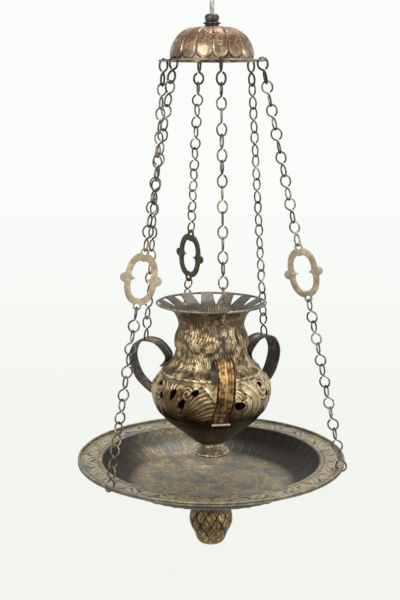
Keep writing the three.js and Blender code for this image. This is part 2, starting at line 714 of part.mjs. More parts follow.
// Inner chains: top link, run and the end link that straddles the handle's middle rib
const innerTopZ = FLANGE_THICKNESS + leanSeat(INNER_LINK_WIDTH, TOP_LINK_WIRE, innerLean);
const innerSlope = Math.asin((HANDLE_CREST_R - innerTopHook.bearingR) / innerChainLength);
const crestZ = canopyZ + innerTopZ - innerChainLength * Math.cos(innerSlope)
  + LINK_WIRE / 2 + SEAT_GAP + STRAP_THICKNESS / 2;

innerAzimuths.forEach((azimuth, i) => {
  const n = i + 1;
  const line = hang(innerSlope, innerTopHook.bearingR, canopyZ + innerTopZ, spoke(azimuth, lamp));
  const topLink = link(innerTopLength, INNER_LINK_WIDTH, TOP_LINK_WIRE, 0, 90);
  place(`inner_top_link_${n}`, topLink, 'darkWire', line).position.z = -innerTopLength / 2;
  const run = linkRun(INNER_LINKS - 2, INNER_LINK_PITCH, INNER_LINK_WIDTH, LINK_WIRE, 0, 0);
  place(`inner_chain_${n}`, run, 'wire', line).position.z = innerRunZ;
  const endLink = link(innerEndLength, INNER_LINK_WIDTH, LINK_WIRE, 0, 90);
  place(`handle_link_${n}`, endLink, 'wire', line).position.z = innerEndZ - innerEndLength / 2;
});

// Vase, measured down from the middle of its rim wire; its +X points at the first handle
const vaseZ = crestZ + HANDLE_CREST_DEPTH;
const vase = new THREE.Group();
vase.position.z = vaseZ;
vase.rotation.z = radians(INNER_FIRST_AZIMUTH - 90);
lamp.add(vase);

place('vase_rim_wire', wireRing(VASE_RIM_R, VASE_RIM_WIRE, TURN_STEPS, 4), 'gold', vase);

const throatZ = -VASE_FLARE_HEIGHT;
const waistZ = throatZ - VASE_NECK_HEIGHT;
const shoulderZ = waistZ - VASE_SHOULDER_HEIGHT;
const seamZ = shoulderZ - VASE_SKIRT_HEIGHT;
const bellyZ = seamZ - VASE_BELLY_HEIGHT;
const bowlZ = bellyZ - VASE_BOWL_HEIGHT;
const cupZ = bowlZ - VASE_CUP_HEIGHT;
const floorZ = cupZ - VASE_BASE_HEIGHT;
const petalTipR = VASE_RIM_R - VASE_RIM_WIRE / 2 - SEAT_GAP;
const upperLine = smooth([
  [petalTipR, VASE_RIM_WIRE / 4],
  [lerp(VASE_THROAT_R, petalTipR, 0.3), throatZ * 0.4],
  [VASE_THROAT_R, throatZ],
  [VASE_WAIST_R, lerp(throatZ, waistZ, 0.5)],
  [VASE_WAIST_R, waistZ],
  [lerp(VASE_WAIST_R, VASE_SHOULDER_R, 0.38), lerp(waistZ, shoulderZ, 0.68)],
  [VASE_SHOULDER_R, shoulderZ],
  [VASE_SEAM_R, seamZ],
], 8);
const bowlLine = smooth([
  [VASE_SEAM_R, seamZ - SEAT_GAP],
  [lerp(VASE_SEAM_R, VASE_BELLY_R, 0.75), lerp(seamZ, bellyZ, 0.45)],
  [VASE_BELLY_R, bellyZ],
  [lerp(VASE_BOWL_R, VASE_BELLY_R, 0.63), lerp(bellyZ, bowlZ, 0.6)],
  [VASE_BOWL_R, bowlZ],
  [VASE_CUP_R, cupZ],
  [VASE_FLOOR_R, floorZ],
], 8);

// A prism that pierces a wall: a flat outline in radial view, pushed out through one side
function piercing(outline, innerR, outerR) {
  const shape = new THREE.Shape(outline.map(([x, z]) => new THREE.Vector2(x, z)));
  return new THREE.ExtrudeGeometry(shape, { depth: outerR - innerR, bevelEnabled: false })
    .rotateX(Math.PI / 2)
    .rotateZ(Math.PI / 2)
    .translate(innerR, 0, 0);
}

// An oval outline that leans by an angle
function oval(width, height, z, lean, steps = 6) {
  return [...Array(steps).keys()].map((i) => {
    const angle = 2 * Math.PI * i / steps;
    const point = new THREE.Vector2(width / 2 * Math.cos(angle), height / 2 * Math.sin(angle));
    point.rotateAround(new THREE.Vector2(), lean);
    return [point.x, z + point.y];
  });
}

function repeated(count, tool) {
  return [...Array(count).keys()].map((i) => tool.clone().rotateZ(2 * Math.PI * i / count));
}

const rimOpening = piercing([
  [-RIM_OPENING_WIDTH / 2, VASE_RIM_WIRE],
  [0, -RIM_OPENING_DEPTH],
  [RIM_OPENING_WIDTH / 2, VASE_RIM_WIRE],
], VASE_THROAT_R / 2, 2 * VASE_RIM_R);
const bellyOpenings = BELLY_OPENINGS.flatMap(([turn, drop, width, height, lean]) => repeated(
  CHAIN_COUNT,
  piercing(oval(width, height, seamZ - drop, radians(lean)), VASE_BELLY_R / 2, 2 * VASE_BELLY_R)
    .rotateZ(radians(turn)),
));

// The place on a wall's line at a height, with the wall's outward normal
function placeOn(line, height) {
  const found = line.findIndex(([, z], k) => k > 0 && z <= height);
  const i = found < 0 ? line.length - 1 : found;
  const [[r0, z0], [r1, z1]] = [line[i - 1], line[i]];
  const share = (height - z0) / (z1 - z0);
  const length = Math.hypot(r1 - r0, z1 - z0);
  return {
    point: new THREE.Vector2(lerp(r0, r1, share), height),
    normal: new THREE.Vector2((z0 - z1) / length, (r1 - r0) / length),
  };
}

function standOff({ point, normal }, distance) {
  return point.clone().addScaledVector(normal, distance);
}

const shoulderRivetZ = seamZ + SHOULDER_RIVET_RISE;
const upperRivetZ = bellyZ - BELLY_RIVET_DROP;
const lowerRivetZ = upperRivetZ - BELLY_RIVET_SPACING;
const rivetPlaces = {
  shoulder: placeOn(upperLine, shoulderRivetZ),
  belly_upper: placeOn(bowlLine, upperRivetZ),
  belly_lower: placeOn(bowlLine, lowerRivetZ),
};

function rivetHole({ point, normal }) {
  const through = 2 * SEAT_GAP + STRAP_THICKNESS + VASE_WALL;
  return rod(RIVET_R + SEAT_GAP, -through, through, RIVET_STEPS)
    .rotateY(Math.atan2(normal.x, normal.y))
    .translate(point.x, 0, point.y);
}

const shoulderHole = rivetHole(rivetPlaces.shoulder);
const bellyHoles = [rivetHole(rivetPlaces.belly_upper), rivetHole(rivetPlaces.belly_lower)];
const vaseUpper = cut(turned(shell(upperLine, -VASE_WALL), VASE_STEPS), [
  ...repeated(RIM_OPENING_COUNT, rimOpening),
  ...repeated(CHAIN_COUNT, shoulderHole),
]);
place('vase_upper', vaseUpper, 'gold', vase);

const bowlInner = offset(bowlLine, -VASE_WALL).slice(0, -1);
bowlInner[0][1] = bowlLine[0][1];
const bowlOutline = [
  ...bowlLine,
  [0, floorZ],
  [0, floorZ + VASE_WALL],
  [VASE_FLOOR_R, floorZ + VASE_WALL],
  ...bowlInner.reverse(),
];
const vaseBowl = cut(turned(bowlOutline, VASE_STEPS), [
  ...bellyOpenings,
  ...bellyHoles.flatMap((hole) => repeated(CHAIN_COUNT, hole)),
]);
place('vase_bowl', vaseBowl, 'gold', vase);

const footLine = smooth([
  [FOOT_NECK_R, 0],
  [FOOT_NECK_R, -FOOT_HEIGHT * 0.25],
  [FOOT_R, -FOOT_HEIGHT * 0.8],
  [FOOT_R - FOOT_WALL, -FOOT_HEIGHT],
], 4);
const footOutline = [[0, 0], ...shell(footLine, -FOOT_WALL).slice(0, -1), [0, -FOOT_WALL]];
place('vase_foot', turned(footOutline, 18), 'gold', vase).position.z = floorZ - SEAT_GAP;

// Handles: a strap bent from a tab on the shoulder, over the crest and down to a tab on the belly
const lift = SEAT_GAP + STRAP_STAND_OFF + STRAP_THICKNESS / 2;
const crest = new THREE.Vector2(HANDLE_CREST_R, -HANDLE_CREST_DEPTH);
const reach = new THREE.Vector2(HANDLE_REACH_R, -HANDLE_REACH_DEPTH);
const tabLift = lift + STRAP_STAND_OFF;
const heel = standOff(placeOn(upperLine, shoulderRivetZ + STRAP_TAB), lift + STRAP_THICKNESS / 2);
const shin = new THREE.Vector2(heel.x, lerp(heel.y, crest.y, 0.35));
const bellyTab = standOff(placeOn(bowlLine, upperRivetZ + STRAP_TAB), tabLift);
function between(from, to, outward, down) {
  return new THREE.Vector2(lerp(from.x, to.x, outward), lerp(from.y, to.y, down));
}

const handleLine = [
  standOff(placeOn(upperLine, shoulderRivetZ - STRAP_TAB), tabLift),
  standOff(rivetPlaces.shoulder, lift),
  heel,
  shin,
  between(shin, crest, 0.44, 0.85),
  crest,
  between(crest, reach, 0.68, 0.28),
  reach,
  between(reach, bellyTab, 0.25, 0.55),
  between(reach, bellyTab, 0.75, 0.9),
  bellyTab,
  standOff(rivetPlaces.belly_upper, lift),
  standOff(rivetPlaces.belly_lower, lift),
  standOff(placeOn(bowlLine, lowerRivetZ - STRAP_TAB), tabLift),
];
const handlePoints = handleLine.map((p) => new THREE.Vector3(p.x, 0, p.y));
const tangential = handlePoints.map(() => new THREE.Vector3(0, 1, 0));

const strapShape = new THREE.Shape([
  [-0.5, -0.5, 0], [0.5, -0.5, 0], [0.5, 0.5, 0], [0.33, 0.5, 0], [0.2, 0.5, 1], [0.08, 0.5, 0],
  [-0.08, 0.5, 0], [-0.2, 0.5, 1], [-0.33, 0.5, 0], [-0.5, 0.5, 0],
].map(([x, y, groove]) => new THREE.Vector2(
  x * STRAP_WIDTH, y * STRAP_THICKNESS - groove * STRAP_CHANNEL,
)));

const handleLoopR = (INNER_LINK_WIDTH - LINK_WIRE) / 2;
const handleHoleOffset = handleLoopR * Math.sin(radians(LOOP_CORNER))
  + (LINK_WIRE / 2 + SEAT_GAP + STRAP_THICKNESS / 2) * Math.tan(radians(LOOP_CORNER));
const handleHoles = [-1, 1].map((side) => rod(
  LINK_WIRE / 2 + HANDLE_HOLE_CLEARANCE, -STRAP_THICKNESS * 2, STRAP_THICKNESS * 2, HOLE_STEPS,
).translate(HANDLE_CREST_R, side * handleHoleOffset, -HANDLE_CREST_DEPTH));
const strap = cut(swept(handlePoints, tangential, strapShape), [...handleHoles, shoulderHole, ...bellyHoles]);

const rivetSeat = 2 * SEAT_GAP + STRAP_STAND_OFF + STRAP_THICKNESS;
const rivetGrip = rivetSeat + VASE_WALL + 2 * SEAT_GAP;
const strapRivet = rivet(RIVET_R, RIVET_HEAD_R, RIVET_HEAD_HEIGHT, rivetGrip, RIVET_STEPS);
thirds.forEach((turn, i) => {
  const side = new THREE.Group();
  side.rotation.z = radians(turn);
  vase.add(side);
  place(`handle_${i + 1}`, strap.clone(), 'gold', side);
  Object.entries(rivetPlaces).forEach(([where, spot]) => {
    const mesh = place(`${where}_rivet_${i + 1}`, strapRivet.clone(), 'darkBrass', side);
    const seatPoint = standOff(spot, rivetSeat);
    mesh.position.set(seatPoint.x, 0, seatPoint.y);
    mesh.rotation.y = Math.atan2(spot.normal.x, spot.normal.y);
  });
});

export default lamp;
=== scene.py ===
# %% [markdown]
# # A hanging sanctuary lamp of tarnished, silvered brass
# A lamp of this kind hangs from one ring. A fluted canopy carries six chains of bent wire. Three of
# them hold a wide dish by its rim, with a cast plaque in the middle of each, and three hold a
# pierced vase by its handles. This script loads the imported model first. Every piece made here then
# goes to the place that the model gives, so nothing has to be fitted by eye.

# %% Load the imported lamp
import json
import math

import bmesh
import bpy
import numpy as np
from mathutils import Matrix, Vector

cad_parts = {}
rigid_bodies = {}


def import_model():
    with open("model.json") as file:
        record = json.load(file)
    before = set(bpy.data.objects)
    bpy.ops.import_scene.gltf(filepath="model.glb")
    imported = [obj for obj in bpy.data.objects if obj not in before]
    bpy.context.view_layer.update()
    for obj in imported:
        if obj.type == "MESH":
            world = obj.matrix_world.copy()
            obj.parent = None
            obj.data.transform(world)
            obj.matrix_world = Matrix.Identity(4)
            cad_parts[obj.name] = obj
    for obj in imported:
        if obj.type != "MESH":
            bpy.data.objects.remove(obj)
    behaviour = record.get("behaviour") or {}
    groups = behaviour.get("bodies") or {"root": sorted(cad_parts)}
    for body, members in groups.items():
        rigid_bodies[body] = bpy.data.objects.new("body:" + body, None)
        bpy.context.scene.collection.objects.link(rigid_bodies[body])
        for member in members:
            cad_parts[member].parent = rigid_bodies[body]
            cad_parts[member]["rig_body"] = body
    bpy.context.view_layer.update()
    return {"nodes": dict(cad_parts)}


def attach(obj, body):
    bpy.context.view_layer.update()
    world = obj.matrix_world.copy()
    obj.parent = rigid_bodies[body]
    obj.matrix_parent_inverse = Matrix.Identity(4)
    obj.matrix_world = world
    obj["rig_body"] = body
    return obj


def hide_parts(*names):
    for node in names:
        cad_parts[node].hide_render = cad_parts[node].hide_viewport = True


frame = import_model()
nodes = frame["nodes"]
MM = 0.001

# %% [markdown]
# The camera stands about 1.1 m in front of the lamp, a little below the canopy, and looks 10.6
# degrees down. A long lens keeps the far side of the dish nearly as wide as the near side.

# %% Camera
CAMERA_DOWN = 10.6

camera_data = bpy.data.cameras.new("camera")
camera_data.lens = 64.8
camera_data.sensor_width = 36
camera = bpy.data.objects.new("camera", camera_data)
camera.location = (-0.0117, -1.091, -0.136)
camera.rotation_euler = (math.radians(90 - CAMERA_DOWN), 0, 0)
bpy.context.scene.collection.objects.link(camera)
bpy.context.scene.camera = camera
print("camera lens", camera_data.lens, "mm")

# %% [markdown]
# ## Helpers
# Node trees are made in code, so a small class keeps each formula short: `calc` adds one Math node
# and returns its output, ready to be used in the next line, and `plus`, `minus` and `times` are its
# commonest kinds. `floats` declares a row of number inputs. The same class builds a node group and
# fills the tree of a material or of the world.

# %% Node trees in code
class Tree:
    def __init__(self, tree, kind=None):
        self.tree = bpy.data.node_groups.new(tree, kind) if kind else tree
        if kind:
            self.source = self.tree.nodes.new("NodeGroupInput")
            self.result = self.tree.nodes.new("NodeGroupOutput")

    def takes(self, name, kind, value=None):
        socket = self.tree.interface.new_socket(name, in_out="INPUT",
                                                socket_type="NodeSocket" + kind)
        if value is not None:
            socket.default_value = value
        return self.source.outputs[name]

    def floats(self, **numbers):
        return [self.takes(name.replace("_", " "), "Float", value)
                for name, value in numbers.items()]

    def gives(self, value, name="Geometry", kind="Geometry"):
        self.tree.interface.new_socket(name, in_out="OUTPUT", socket_type="NodeSocket" + kind)
        self.feed(value, self.result.inputs[name])

    def feed(self, value, socket):
        if isinstance(value, bpy.types.NodeSocket):
            self.tree.links.new(value, socket)
        else:
            socket.default_value = value

    def node(self, kind, inputs=(), **settings):
        made = self.tree.nodes.new(kind)
        for key, value in settings.items():
            setattr(made, key, value)
        for key, value in dict(inputs).items():
            self.feed(value, made.inputs[key])
        return made

    def calc(self, operation, *values):
        return self.node("ShaderNodeMath", dict(enumerate(values)), operation=operation).outputs[0]

    def plus(self, first, second):
        return self.calc("ADD", first, second)

    def minus(self, first, second):
        return self.calc("SUBTRACT", first, second)

    def times(self, first, second):
        return self.calc("MULTIPLY", first, second)

    def attribute(self, name, kind="FLOAT"):
        made = self.node("GeometryNodeInputNamedAttribute", {"Name": name}, data_type=kind)
        return next(s for s in made.outputs if s.enabled and s.name == "Attribute")

    def coated(self, geometry, material):
        """Ends a geometry tree: real geometry that wears its material."""
        real = self.node("GeometryNodeRealizeInstances", {"Geometry": geometry}).outputs[0]
        self.gives(self.node("GeometryNodeSetMaterial", {
            "Geometry": real, "Material": material,
        }).outputs[0])

    def ramp(self, value, low, high, bottom=0.0, top=1.0):
        inputs = dict(enumerate((value, low, high, bottom, top)))
        return self.node("ShaderNodeMapRange", inputs, interpolation_type="SMOOTHSTEP").outputs[0]

    def mix(self, share, first, second):
        inputs = {0: share, 6: first, 7: second}
        return self.node("ShaderNodeMix", inputs, data_type="RGBA").outputs[2]


def tree_of(data):
    """The tree of a material or of the world."""
    data.use_nodes = True
    return Tree(data.node_tree)


print("Tree is ready")


# %% [markdown]
# A Geometry Nodes modifier takes its inputs by the sockets' identifiers. Once the tree has run, its
# result is kept as a plain mesh and the modifier goes, so that the piece can be handed on.

# %% Run a tree on a piece
def run_tree(piece, made, values):
    modifier = piece.modifiers.new("shape", "NODES")
    modifier.node_group = made.tree
    for item in made.tree.interface.items_tree:
        if item.item_type == "SOCKET" and item.in_out == "INPUT" and item.name in values:
            modifier[item.identifier] = values[item.name]
    graph = bpy.context.evaluated_depsgraph_get()
    shaped = bpy.data.meshes.new_from_object(piece.evaluated_get(graph))
    piece.modifiers.clear()
    old = piece.data
    piece.data = shaped
    bpy.data.meshes.remove(old)


print("a tree can be run on a piece")


# %% [markdown]
# A piece is a mesh whose object stays at the origin. It rides on the body that its CAD node rides
# on, and stands for that node.

# %% Make a piece and hand it to the frame
def placed(name, data):
    made = bpy.data.objects.new(name, data)
    bpy.context.scene.collection.objects.link(made)
    return made


def dressed(mesh, material, attributes=(), sharp=50):
    """Gives a mesh its material, its attributes and smooth shading with sharp edges."""
    for key, values in {"relief": np.full(len(mesh.vertices), 0.5), **dict(attributes)}.items():
        values = np.asarray(values, np.float32)
        kind, field = ("FLOAT_VECTOR", "vector") if values.ndim == 2 else ("FLOAT", "value")
        mesh.attributes.new(key, kind, "POINT").data.foreach_set(field, values.ravel())
    mesh.polygons.foreach_set("use_smooth", [True] * len(mesh.polygons))
    mesh.set_sharp_from_angle(angle=math.radians(sharp))
    mesh.materials.clear()
    mesh.materials.append(material)
    mesh.update()
    return mesh


def new_piece(name, points, faces, material, attributes=()):
    mesh = bpy.data.meshes.new(name)
    metres = (np.asarray(points, float) * MM).tolist()
    mesh.from_pydata(metres, [], [list(map(int, f)) for f in faces])
    return placed(name, dressed(mesh, material, attributes))


def hand_over(piece, slot, *replaced):
    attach(piece, nodes[replaced[0]]["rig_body"])
    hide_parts(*replaced)
    print(piece.name, "faces:", len(piece.data.polygons))


def outward(piece):
    work = bmesh.new()
    work.from_mesh(piece.data)
    bmesh.ops.remove_doubles(work, verts=work.verts, dist=1e-6)
    bmesh.ops.recalc_face_normals(work, faces=work.faces)
    work.to_mesh(piece.data)
    work.free()
    return piece


def solid(name, shape, finish, slot, node):
    """Makes a piece from (points, faces), with its faces outwards, and hands it over."""
    hand_over(outward(new_piece(name, *shape, finish.material)), slot, node)


print("pieces can be made and handed over")


# %% [markdown]
# ## Metal that has aged, with painted light and shade
# All the pieces share one history: bright metal on the raised places that hands and cloths reach,
# a brown or grey skin on the rest, dark dirt in the recesses, and patches where the silvering is
# left. The group also paints light and shade: the dark in the recesses is painted shade as well as
# dirt, and the bright metal on the crests is a painted highlight as well as wear. One node group
# makes this from four colours. It reads the attribute `relief`, which each piece carries: 0 in a
# groove, 0.5 on plain metal, and 1 on a crest.

# %% The shared group for aged metal, with painted shade and highlight
SKIN_COLOURS = ("Bright", "Middle", "Patch", "Dark")


def aged_and_shaded_metal_group():
    t = Tree("aged metal", "ShaderNodeTree")
    vector = t.takes("Vector", "Vector")
    relief = t.takes("Relief", "Float", 0.5)
    bright, middle, patch, dark = [t.takes(name, "Color") for name in SKIN_COLOURS]
    patch_size, patch_share, grain = t.floats(Patch_Size=30.0, Patch_Share=0.5, Grain=400.0)

    def noise(size, detail, distortion=0.0):
        return t.node("ShaderNodeTexNoise", {
            "Vector": vector, "Scale": size, "Detail": detail, "Roughness": 0.62,
            "Distortion": distortion,
        }).outputs["Fac"]

    cloud = noise(patch_size, 4.0, 0.6)
    mottle = noise(t.times(patch_size, 4.3), 5.0, 0.3)
    speck = noise(grain, 3.0)
    low = t.minus(0.62, t.times(patch_share, 0.28))
    patches = t.ramp(t.plus(cloud, t.times(mottle, 0.2)), low, t.plus(low, 0.22))
    plain = t.mix(t.ramp(mottle, 0.42, 0.62), middle, bright)
    skin = t.mix(patches, plain, patch)
    stained = t.mix(t.ramp(speck, 0.56, 0.75, 0.0, 0.45), skin, dark)
    # recesses darken: dirt, and painted shade
    recess = t.ramp(t.plus(relief, t.times(mottle, 0.2)), 0.36, 0.62, 0.95, 0.0)
    dirt_and_shade = t.mix(recess, stained, dark)
    # crests lighten: wear, and painted highlight
    crest = t.ramp(t.plus(relief, t.times(mottle, 0.1)), 0.62, 0.92, 0.0, 0.8)
    t.gives(t.mix(crest, dirt_and_shade, bright), "Color", "Color")
    rough = t.plus(t.times(mottle, 0.24), t.times(recess, 0.22))
    t.gives(t.minus(rough, t.times(crest, 0.08)), "Roughness", "Float")
    t.gives(t.plus(t.times(speck, 0.35), t.times(mottle, 0.65)), "Height", "Float")
    both = t.plus(t.times(mottle, 0.55), t.times(speck, 0.45))
    t.gives(t.ramp(both, 0.42, 0.56), "Mask", "Float")
    return t.tree


AGED_AND_SHADED = aged_and_shaded_metal_group()
print(AGED_AND_SHADED.name, "outputs:", [s.name for s in AGED_AND_SHADED.nodes["Group Output"].inputs if s.name])


# %% [markdown]
# A finish is one material that holds the group with its own colours. The shader itself stays
# outside the group. `base_rough` is added to the roughness that the group gives. A tint lays one
# more colour over the skin where an attribute says so: rust on the crown of the canopy, painted
# shade inside the vase and on the wall of the dish, and a darker brown on one side of the belly
# and towards its bottom.

# %% Finishes
PIT_DEPTH, PIT_STRENGTH = 0.12, 0.6


def colour(code):
    parts = [int(code[i:i + 2], 16) / 255 for i in (0, 2, 4)]
    return [p / 12.92 if p <= 0.04045 else ((p + 0.055) / 1.055) ** 2.4 for p in parts] + [1.0]


class Finish:
    def __init__(self, name, colours, patch_size, patch_share, grain, base_rough, metallic):
        self.material = bpy.data.materials.new(name)
        self.tree = tree_of(self.material)
        self.shader = self.tree.tree.nodes["Principled BSDF"]
        self.group = self.tree.node("ShaderNodeGroup", {
            "Vector": self.tree.node("ShaderNodeTexCoord").outputs["Object"],
            "Relief": self.attribute("relief"),
            "Patch Size": patch_size, "Patch Share": patch_share, "Grain": grain,
            **{key: colour(code) for key, code in zip(SKIN_COLOURS, colours.split())},
        }, node_tree=AGED_AND_SHADED)
        self.base = self.group.outputs["Color"]
        rough = self.tree.plus(self.group.outputs["Roughness"], base_rough)
        pits = self.tree.node("ShaderNodeBump", {
            "Height": self.group.outputs["Height"], "Strength": PIT_STRENGTH,
            "Distance": PIT_DEPTH * MM,
        })
        for key, value in (("Base Color", self.base), ("Roughness", rough), ("Metallic", metallic),
                           ("Normal", pits.outputs["Normal"])):
            self.tree.feed(value, self.shader.inputs[key])

    def attribute(self, name):
        return self.tree.node("ShaderNodeAttribute", attribute_name=name).outputs["Fac"]

    def tint(self, code, name, low, high, most, patchy=False):
        """Mixes a colour in where an attribute passes from low to high, in patches or evenly."""
        share = self.tree.ramp(self.attribute(name), low, high, 0.0, most)
        if patchy:
            share = self.tree.times(share, self.group.outputs["Mask"])
        self.base = self.tree.mix(share, self.base, colour(code))
        self.tree.feed(self.base, self.shader.inputs["Base Color"])


# name, colours (bright, middle, patch, dark), patch size and share, grain, base_rough, metallic
steel = Finish("steel_of_knob", "6f6c66 3f3d3a 4d4945 1b1a18", 90, 0.4, 900, 0.28, 0.8)
rod_grey = Finish("steel_of_rod", "c9c8c2 9b9892 8a8278 5c5853", 90, 0.4, 900, 0.32, 0.6)
wire_dark = Finish("wire_dark", "8e867a 4d463d 3b352e 1d1a17", 70, 0.6, 900, 0.32, 0.75)
wire_worn = Finish("wire_worn", "b1a48f 6f6557 4a423a 26221d", 60, 0.5, 900, 0.32, 0.75)
plaque_pale = Finish("plaque_pale", "b8a98c 9d8e74 8c7d65 463c2e", 55, 0.3, 800, 0.36, 0.6)
plaque_dark = Finish("plaque_dark", "6a5c45 463c2b 3a3226 221d16", 55, 0.5, 800, 0.34, 0.6)
canopy_skin = Finish("canopy_skin", "d9c8a9 8a6b48 74675a 3a291d", 34, 0.42, 420, 0.26, 0.7)
canopy_skin.tint("5c3716", "along", 58.0, 36.0, 1.0, True)
neck_gold = Finish("neck_gold", "dac79f 6f522c 5d503a 1d1409", 40, 0.35, 480, 0.3, 0.7)
neck_gold.tint("46301a", "along", 38.0, 24.0, 0.7, True)
# painted shade on the inside face of the neck
neck_gold.tint("4d4b46", "inside", 0.3, 0.7, 0.75)
belly_gold = Finish("belly_gold", "e0cea4 80602f 64543a 180f07", 30, 0.36, 480, 0.26, 0.7)
# darker brown on one side of the belly, left of the front
belly_gold.tint("4f371a", "tint_share", 0.0, 1.0, 0.9)
# darker towards the bottom of the belly
belly_gold.tint("1b0f05", "along", 28.0, 46.0, 0.95)
# painted shade on the inside face of the belly, so that its openings look dark
belly_gold.tint("120d08", "inside", 0.3, 0.7, 0.9)
rim_grey = Finish("rim_grey_gold", "b5ac98 7d7565 6b655a 38332a", 60, 0.5, 700, 0.34, 0.65)
foot_pale = Finish("foot_pale", "d0c5aa 857456 6a5d46 261f14", 70, 0.35, 700, 0.3, 0.65)
dish_skin = Finish("dish_skin", "aa9b7d 7f7056 6b6c66 332a1d", 52, 0.36, 380, 0.38, 0.55)
# painted shade on the wall of the dish, lighter on one side, and a faint darker ring round the
# medallion
dish_skin.tint("191207", "tint_share", 0.0, 0.93, 0.97)
pendant_gold = Finish("pendant_gold", "ad9160 59462c 463a29 0f0a05", 60, 0.3, 700, 0.3, 0.7)
strap_copper = Finish("strap_copper", "c9a469 6f3f24 5a4030 170c07", 40, 0.3, 600, 0.28, 0.7)
strap_copper.tint("55585c", "along", 44.0, 30.0, 0.8)
strap_copper.tint("c9bea4", "along", 160.0, 190.0, 0.85)
strap_brown = Finish("strap_brown", "8a7a66 4b3f35 3d3834 1c1714", 40, 0.4, 600, 0.3, 0.75)
inner_brass = Finish("brass_inside", "8b7a5b 5e5240 4d4436 2c261e", 60, 0.4, 700, 0.4, 0.6)
print(len(bpy.data.materials), "materials")


# %% [markdown]
# ## Bent wire
# The ring, the eye of the stem, the rim wires and all the links are round wire that was bent. In
# code, a circle is carried along the wire's middle line. The circle must not spin on the way, so
# each frame is turned from the last one by the smallest angle that the line asks for.

# %% Curves through points, and a section carried along them
def through(points, per=6, closed=False):
    """A smooth line through points (Catmull-Rom), with `per` steps between two of them."""
    p = np.asarray(points, float)
    ends = (p[-1], p[:2]) if closed else (2 * p[0] - p[1], 2 * p[-1] - p[-2])
    p = np.vstack([ends[0], p, ends[1]])
    t = np.linspace(0, 1, per, endpoint=False)[:, None]
    line = []
    for a, b, c, d in zip(p, p[1:], p[2:], p[3:]):
        line.append(0.5 * (2 * b + (c - a) * t + (2 * a - 5 * b + 4 * c - d) * t ** 2
                           + (3 * b - a - 3 * c + d) * t ** 3))
    return np.vstack(line if closed else line + [p[-2:-1]])


def unit(v):
    return v / np.linalg.norm(v, axis=-1, keepdims=True)


def carried(line, section, side=None, closed=False):
    """Carries a closed section of (side, lift) pairs along a line; returns points and faces."""
    if closed:
        tangent = unit(np.roll(line, -1, 0) - np.roll(line, 1, 0))
    else:
        tangent = unit(np.gradient(line, axis=0))
    if side is None:
        first = np.cross(tangent[0], [0.3, 0.5, 0.8])
        normals = [first / np.linalg.norm(first)]
        for t in tangent[1:]:
            n = normals[-1] - t * np.dot(normals[-1], t)
            normals.append(n / np.linalg.norm(n))
        normal = np.array(normals)
    else:
        normal = unit(np.asarray(side) - tangent * (tangent @ np.asarray(side))[:, None])
    lift = np.cross(tangent, normal)
    section = np.asarray(section, float)
    points = (line[:, None] + section[None, :, :1] * normal[:, None]
              + section[None, :, 1:] * lift[:, None])
    rows, count = len(line), len(section)
    faces = []
    for i in range(rows if closed else rows - 1):
        for j in range(count):
            a, b = i * count + j, i * count + (j + 1) % count
            faces.append((a, b, (b + count) % (rows * count), (a + count) % (rows * count)))
    if not closed:
        faces += [tuple(range(count))[::-1], tuple(range((rows - 1) * count, rows * count))]
    return points.reshape(-1, 3), faces


def circle(diameter, sides=8):
    a = 2 * np.pi * np.arange(sides) / sides
    return np.stack([np.cos(a), np.sin(a)], 1) * diameter / 2


def hoop(radius, steps):
    """Points of a circle in the plane of X and Y."""
    a = 2 * np.pi * np.arange(steps) / steps
    return np.stack([radius * np.cos(a), radius * np.sin(a), np.zeros(steps)], 1)


def joined(*parts):
    """Several (points, faces) pairs as one."""
    points, faces, start = [], [], 0
    for p, f in parts:
        points.append(p)
        faces += [tuple(i + start for i in face) for face in f]
        start += len(p)
    return np.vstack(points), faces


print("a circle of wire has", len(circle(1.8)), "points")

# %% [markdown]
# The hanging ring stands in the plane that faces the camera, and the eye of the stem hangs in it,
# turned by a quarter. The stem is a plain rod whose lower end carries the canopy.

# %% Ring and stem
RING_MIDDLE_R, RING_WIRE, RING_Z = 12.6, 3.2, -11.0
EYE_R, EYE_WIRE, EYE_Z = 5.3, 3.0, -25.5
STEM_R, STEM_TOP, STEM_BOTTOM = 2.2, -30.4, -77.2

ring_line = hoop(RING_MIDDLE_R, 64)[:, [0, 2, 1]] + [0, 0, RING_Z]
ring = carried(ring_line, circle(RING_WIRE, 12), closed=True)
solid("ring", ring, rod_grey, "ring_wire", "hanging_ring")

eye_line = hoop(EYE_R, 40)[:, [2, 0, 1]] + [0, 0, EYE_Z]
rod_line = np.array([[0, 0, z] for z in np.linspace(STEM_TOP, STEM_BOTTOM, 9)])
stem_parts = joined(carried(eye_line, circle(EYE_WIRE, 12), closed=True),
                    carried(rod_line, circle(2 * STEM_R, 20)))
solid("stem_rod", stem_parts, rod_grey, "ring_wire", "stem")


# %% [markdown]
# ## Turned solids
# The knob, its collar, the foot and the pendant were turned on a lathe. A closed outline of radius
# and height is carried round the axis. Where the outline meets the axis, the doubles are merged, so
# the pole is one point.

# %% A closed outline turned round the axis
def turned_solid(outline, steps, lift=0.0):
    outline = np.asarray(outline, float)
    a = 2 * np.pi * np.arange(steps) / steps
    r, z = outline[:, 0], outline[:, 1] + lift
    points = np.stack([np.outer(np.cos(a), r), np.outer(np.sin(a), r), np.tile(z, (steps, 1))], -1)
    count = len(outline)
    faces = []
    for i in range(steps):
        k = (i + 1) % steps
        for j in range(count):
            m = (j + 1) % count
            if max(r[j], r[m]) > 1e-6:
                faces.append((i * count + j, i * count + m, k * count + m, k * count + j))
    return points.reshape(-1, 3), faces


